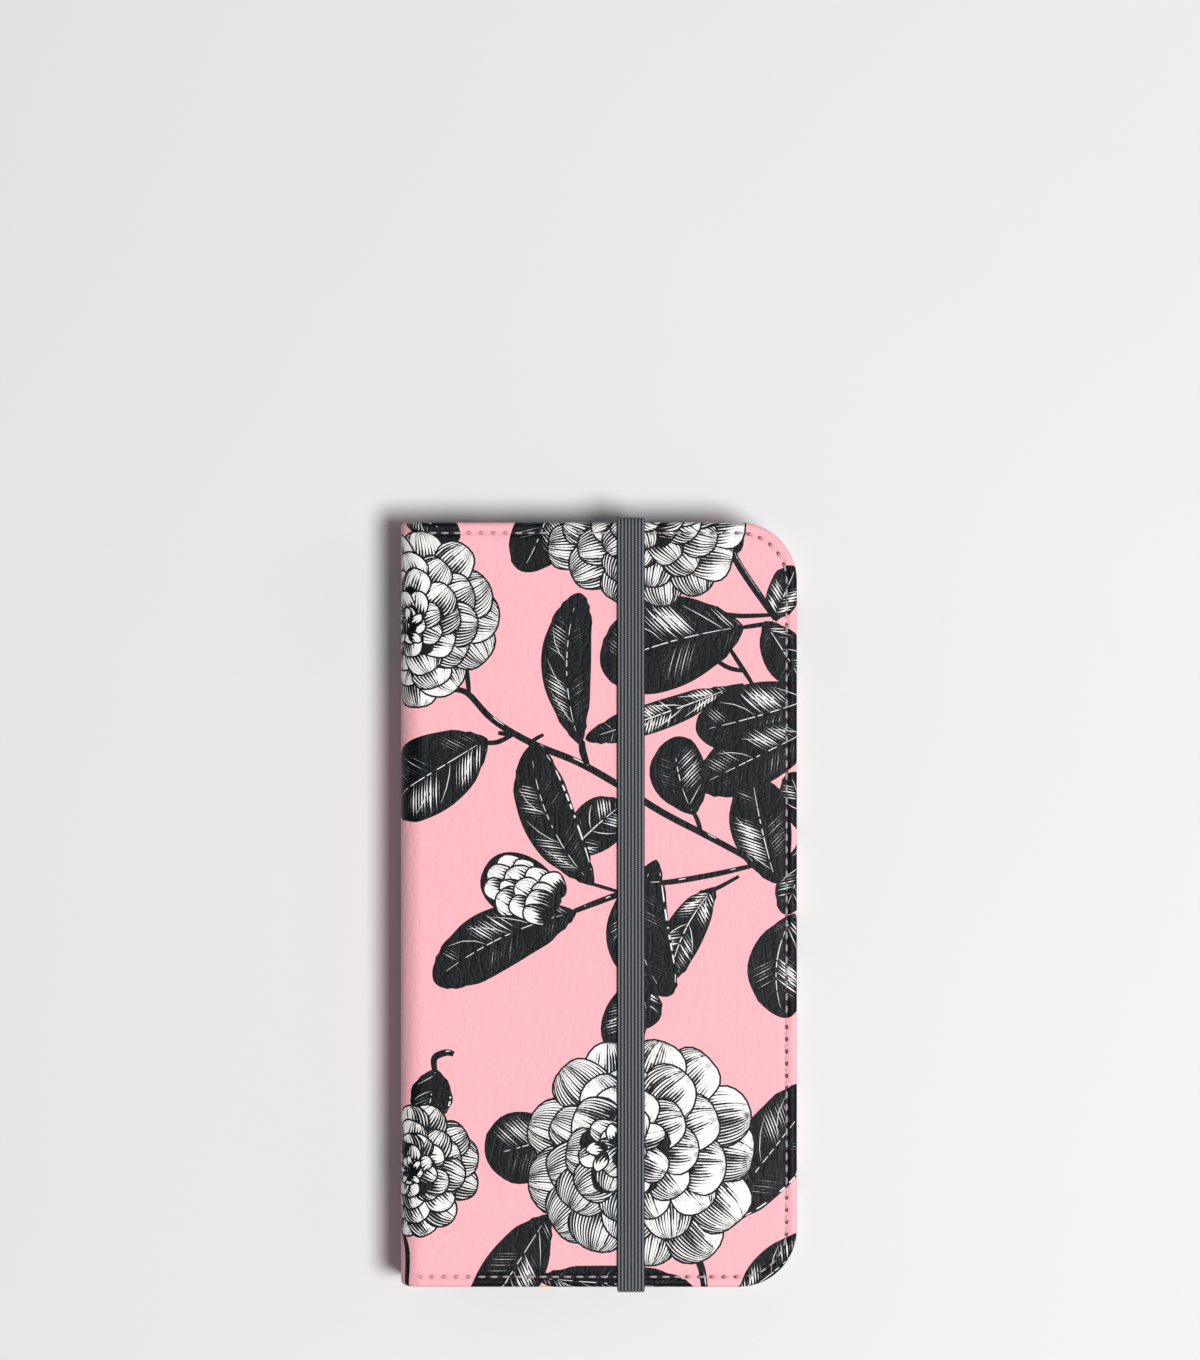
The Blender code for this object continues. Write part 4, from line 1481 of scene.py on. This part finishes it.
def band_route(thickness, tail):
    """The band's outer face from one tail over the cover to the other.

    Each station is y, z, facing y, facing z, thickness, and the length so far.
    """
    outer, top, bottom = BAND_HIGH.y, BAND_HIGH.z, TAIL_LOW.z
    high_bend, low_bend = BAND_HIGH_BEND, BAND_LOW_BEND
    half = [(TAIL_LOW.y + (outer - low_bend - TAIL_LOW.y) * i / 8, bottom, 0, -1, tail) for i in range(8)]
    for i in range(9):
        turn = pi / 2 * i / 8
        full = tail + (thickness - tail) * i / 8
        half.append((outer - low_bend + low_bend * sin(turn), bottom + low_bend - low_bend * cos(turn),
                     sin(turn), -cos(turn), full))
    start, stop = bottom + low_bend, top - high_bend
    half += [(outer, start + (stop - start) * i / 12, 1, 0, thickness) for i in range(1, 12)]
    for i in range(9):
        turn = pi / 2 * i / 8
        half.append((outer - high_bend + high_bend * cos(turn), top - high_bend + high_bend * sin(turn),
                     cos(turn), sin(turn), thickness))
    run = outer - high_bend
    steps = ceil(run / 1.4)
    half += [(run * (1 - i / steps), top, 0, 1, thickness) for i in range(1, steps)]
    other_half = [(-y, z, -facing_y, facing_z, full) for y, z, facing_y, facing_z, full in reversed(half)]
    route = half + [(0, top, 0, 1, thickness)] + other_half
    length = 0.0
    found = []
    for before, now in zip([route[0], *route], route):
        length += hypot(now[0] - before[0], now[1] - before[1])
        found.append((*now, length))
    return found


class FOLIO_OT_elastic(bpy.types.Operator):
    """Makes the ribbed elastic band, its legs and its two bonded tails as one strap"""

    bl_idname = "folio.elastic"
    bl_label = "Elastic Band"

    def execute(self, context):
        look = context.scene.folio_elastic
        material = elastic_webbing(look)
        thickness, tail = BAND_HIGH.z - CASE_TOP - BAND_GAP, TAIL_HIGH.z - TAIL_LOW.z
        width, middle = BAND_HIGH.x - BAND_LOW.x, (BAND_HIGH.x + BAND_LOW.x) / 2
        outer_steps, inner_steps = look.ribs * 7, look.ribs * 2
        section = []
        for i in range(outer_steps + 1):
            place = i / outer_steps
            crest = abs(sin(pi * place * look.ribs)) ** 0.7
            section.append((place, 1.0, crest))
        for i in range(1, inner_steps):
            place = 1 - i / inner_steps
            section.append((place, 0.0, 0.6))
        points, weave = [], []
        route = band_route(thickness, tail)
        for y, z, facing_y, facing_z, full, length in route:
            for place, shown, crest in section:
                shrink = 0.5 - 0.5 * (1 - (2 * place - 1) ** 8) ** 0.5
                if shown:
                    depth = full * (GROOVE_SHARE * (1 - crest) + shrink * 0.8)
                else:
                    depth = full * (1 - 0.5 * shrink) - 0.04 * (1 - abs(sin(pi * place * look.ribs)))
                across = middle + width * (place - 0.5)
                points.append((across, y - facing_y * depth, z - facing_z * depth))
                # The third number is how high the cord stands there, which the material turns into painted
                # light on the crests and painted shade in the gaps
                weave.append((place * width, length, crest * shown + 0.35 * (1 - shown)))
        round_count = len(section)
        faces = []
        for row in range(len(route) - 1):
            for i in range(round_count):
                a, b = row * round_count + i, row * round_count + (i + 1) % round_count
                faces.append((a, b, b + round_count, a + round_count))
        faces.append(tuple(reversed(range(round_count))))
        faces.append(tuple(range(len(points) - round_count, len(points))))
        mesh = bpy.data.meshes.new("elastic_strap_webbing")
        mesh.from_pydata([Vector(p) * MM for p in points], [], faces)
        fixed = bmesh.new()
        fixed.from_mesh(mesh)
        bmesh.ops.recalc_face_normals(fixed, faces=fixed.faces)
        fixed.to_mesh(mesh)
        fixed.free()
        fill_attribute(mesh, "weave", weave)
        piece = linked(mesh.name, mesh, material)
        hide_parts("elastic_band", "elastic_end_top", "elastic_end_bottom")
        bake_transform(piece)
        return {"FINISHED"}


class FOLIO_OT_core(bpy.types.Operator):
    """Gives the boards, the adhesive pad and the moulded shell their materials"""

    bl_idname = "folio.core"
    bl_label = "Boards, Pad and Shell"

    def execute(self, context):
        look = context.scene.folio_inside
        finishes = (
            (fibre_board(look.board), "fibre_board", ("back_board", "spine_board", "front_board")),
            (adhesive_foam(look.foam), "adhesive_foam", ("adhesive_pad",)),
            (shell_plastic(look.shell), "shell_plastic", ("phone_shell",)),
        )
        for material, slot, names in finishes:
            for name in names:
                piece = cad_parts[name]
                piece.data.materials.clear()
                piece.data.materials.append(material)
        return {"FINISHED"}


class FOLIO_OT_stage(bpy.types.Operator):
    """Sets out the floor, the soft light and the camera"""

    bl_idname = "folio.stage"
    bl_label = "Stage"

    def execute(self, context):
        scene, look = context.scene, context.scene.folio_stage
        floor_z = min(0.0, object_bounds()[0].z) - 0.00002
        plane = bmesh.new()
        bmesh.ops.create_grid(plane, x_segments=8, y_segments=8, size=3.0)
        mesh = bpy.data.meshes.new("stage_floor")
        plane.to_mesh(mesh)
        plane.free()
        for vert in mesh.vertices:
            vert.co.z = floor_z
        floor = bpy.data.objects.new("stage_floor", mesh)
        scene.collection.objects.link(floor)
        mesh.materials.append(stage_floor(look.floor))
        floor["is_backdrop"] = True
        world = bpy.data.worlds.new("soft_light")
        world.use_nodes = True
        sky = world.node_tree.nodes["Background"]
        sky.inputs["Color"].default_value = (0.93, 0.96, 1.0, 1.0)
        sky.inputs["Strength"].default_value = look.sky
        scene.world = world
        for name, place, width, power, tint in (
            ("key_light", (0.5, -0.2, 1.5), 0.5, look.key, (1.0, 0.99, 0.975)),
            ("side_light", (1.5, 0.3, 0.9), 1.0, look.key * 0.1, (0.95, 0.97, 1.0)),
        ):
            lamp = bpy.data.lights.new(name, "AREA")
            lamp.shape, lamp.size, lamp.energy, lamp.color = "DISK", width, power, tint
            light = bpy.data.objects.new(name, lamp)
            light.location = place
            light.rotation_euler = (-Vector(place)).to_track_quat("-Z", "Y").to_euler()
            scene.collection.objects.link(light)
        camera = bpy.data.cameras.new("camera")
        camera.sensor_width = SENSOR
        distance = look.height - CASE_TOP * MM
        camera.lens = SENSOR * distance / look.framed
        camera.clip_start, camera.clip_end = 0.01, 20.0
        stand = bpy.data.objects.new("camera", camera)
        stand.location = (look.offset_x, look.offset_y, look.height)
        scene.collection.objects.link(stand)
        scene.camera = stand
        scene.view_settings.view_transform = "Standard"
        return {"FINISHED"}


STEPS = (
    FOLIO_OT_leather,
    FOLIO_OT_stitches,
    FOLIO_OT_linings,
    FOLIO_OT_pockets,
    FOLIO_OT_elastic,
    FOLIO_OT_core,
    FOLIO_OT_stage,
)


class FOLIO_PT_panel(bpy.types.Panel):
    """Lists the sizes, the colours and the steps that build the case"""

    bl_label = "Folio Case"
    bl_idname = "FOLIO_PT_panel"
    bl_space_type = "VIEW_3D"
    bl_region_type = "UI"
    bl_category = "Folio Case"

    def draw(self, context):
        for name in SETTINGS:
            box = self.layout.box()
            for prop in SETTINGS[name].bl_rna.properties:
                if prop.identifier not in ("rna_type", "name"):
                    box.prop(getattr(context.scene, name), prop.identifier)
        for step in STEPS:
            self.layout.operator(step.bl_idname)


def register():
    for kind in (*SETTINGS.values(), *STEPS, FOLIO_PT_panel):
        bpy.utils.register_class(kind)
    for name, kind in SETTINGS.items():
        setattr(bpy.types.Scene, name, PointerProperty(type=kind))


def unregister():
    for name in SETTINGS:
        delattr(bpy.types.Scene, name)
    for kind in (FOLIO_PT_panel, *reversed(STEPS), *reversed(SETTINGS.values())):
        bpy.utils.unregister_class(kind)


def main():
    register()
    for step in STEPS:
        area, name = step.bl_idname.split(".")
        getattr(getattr(bpy.ops, area), name)()


if __name__ == "__main__":
    main()
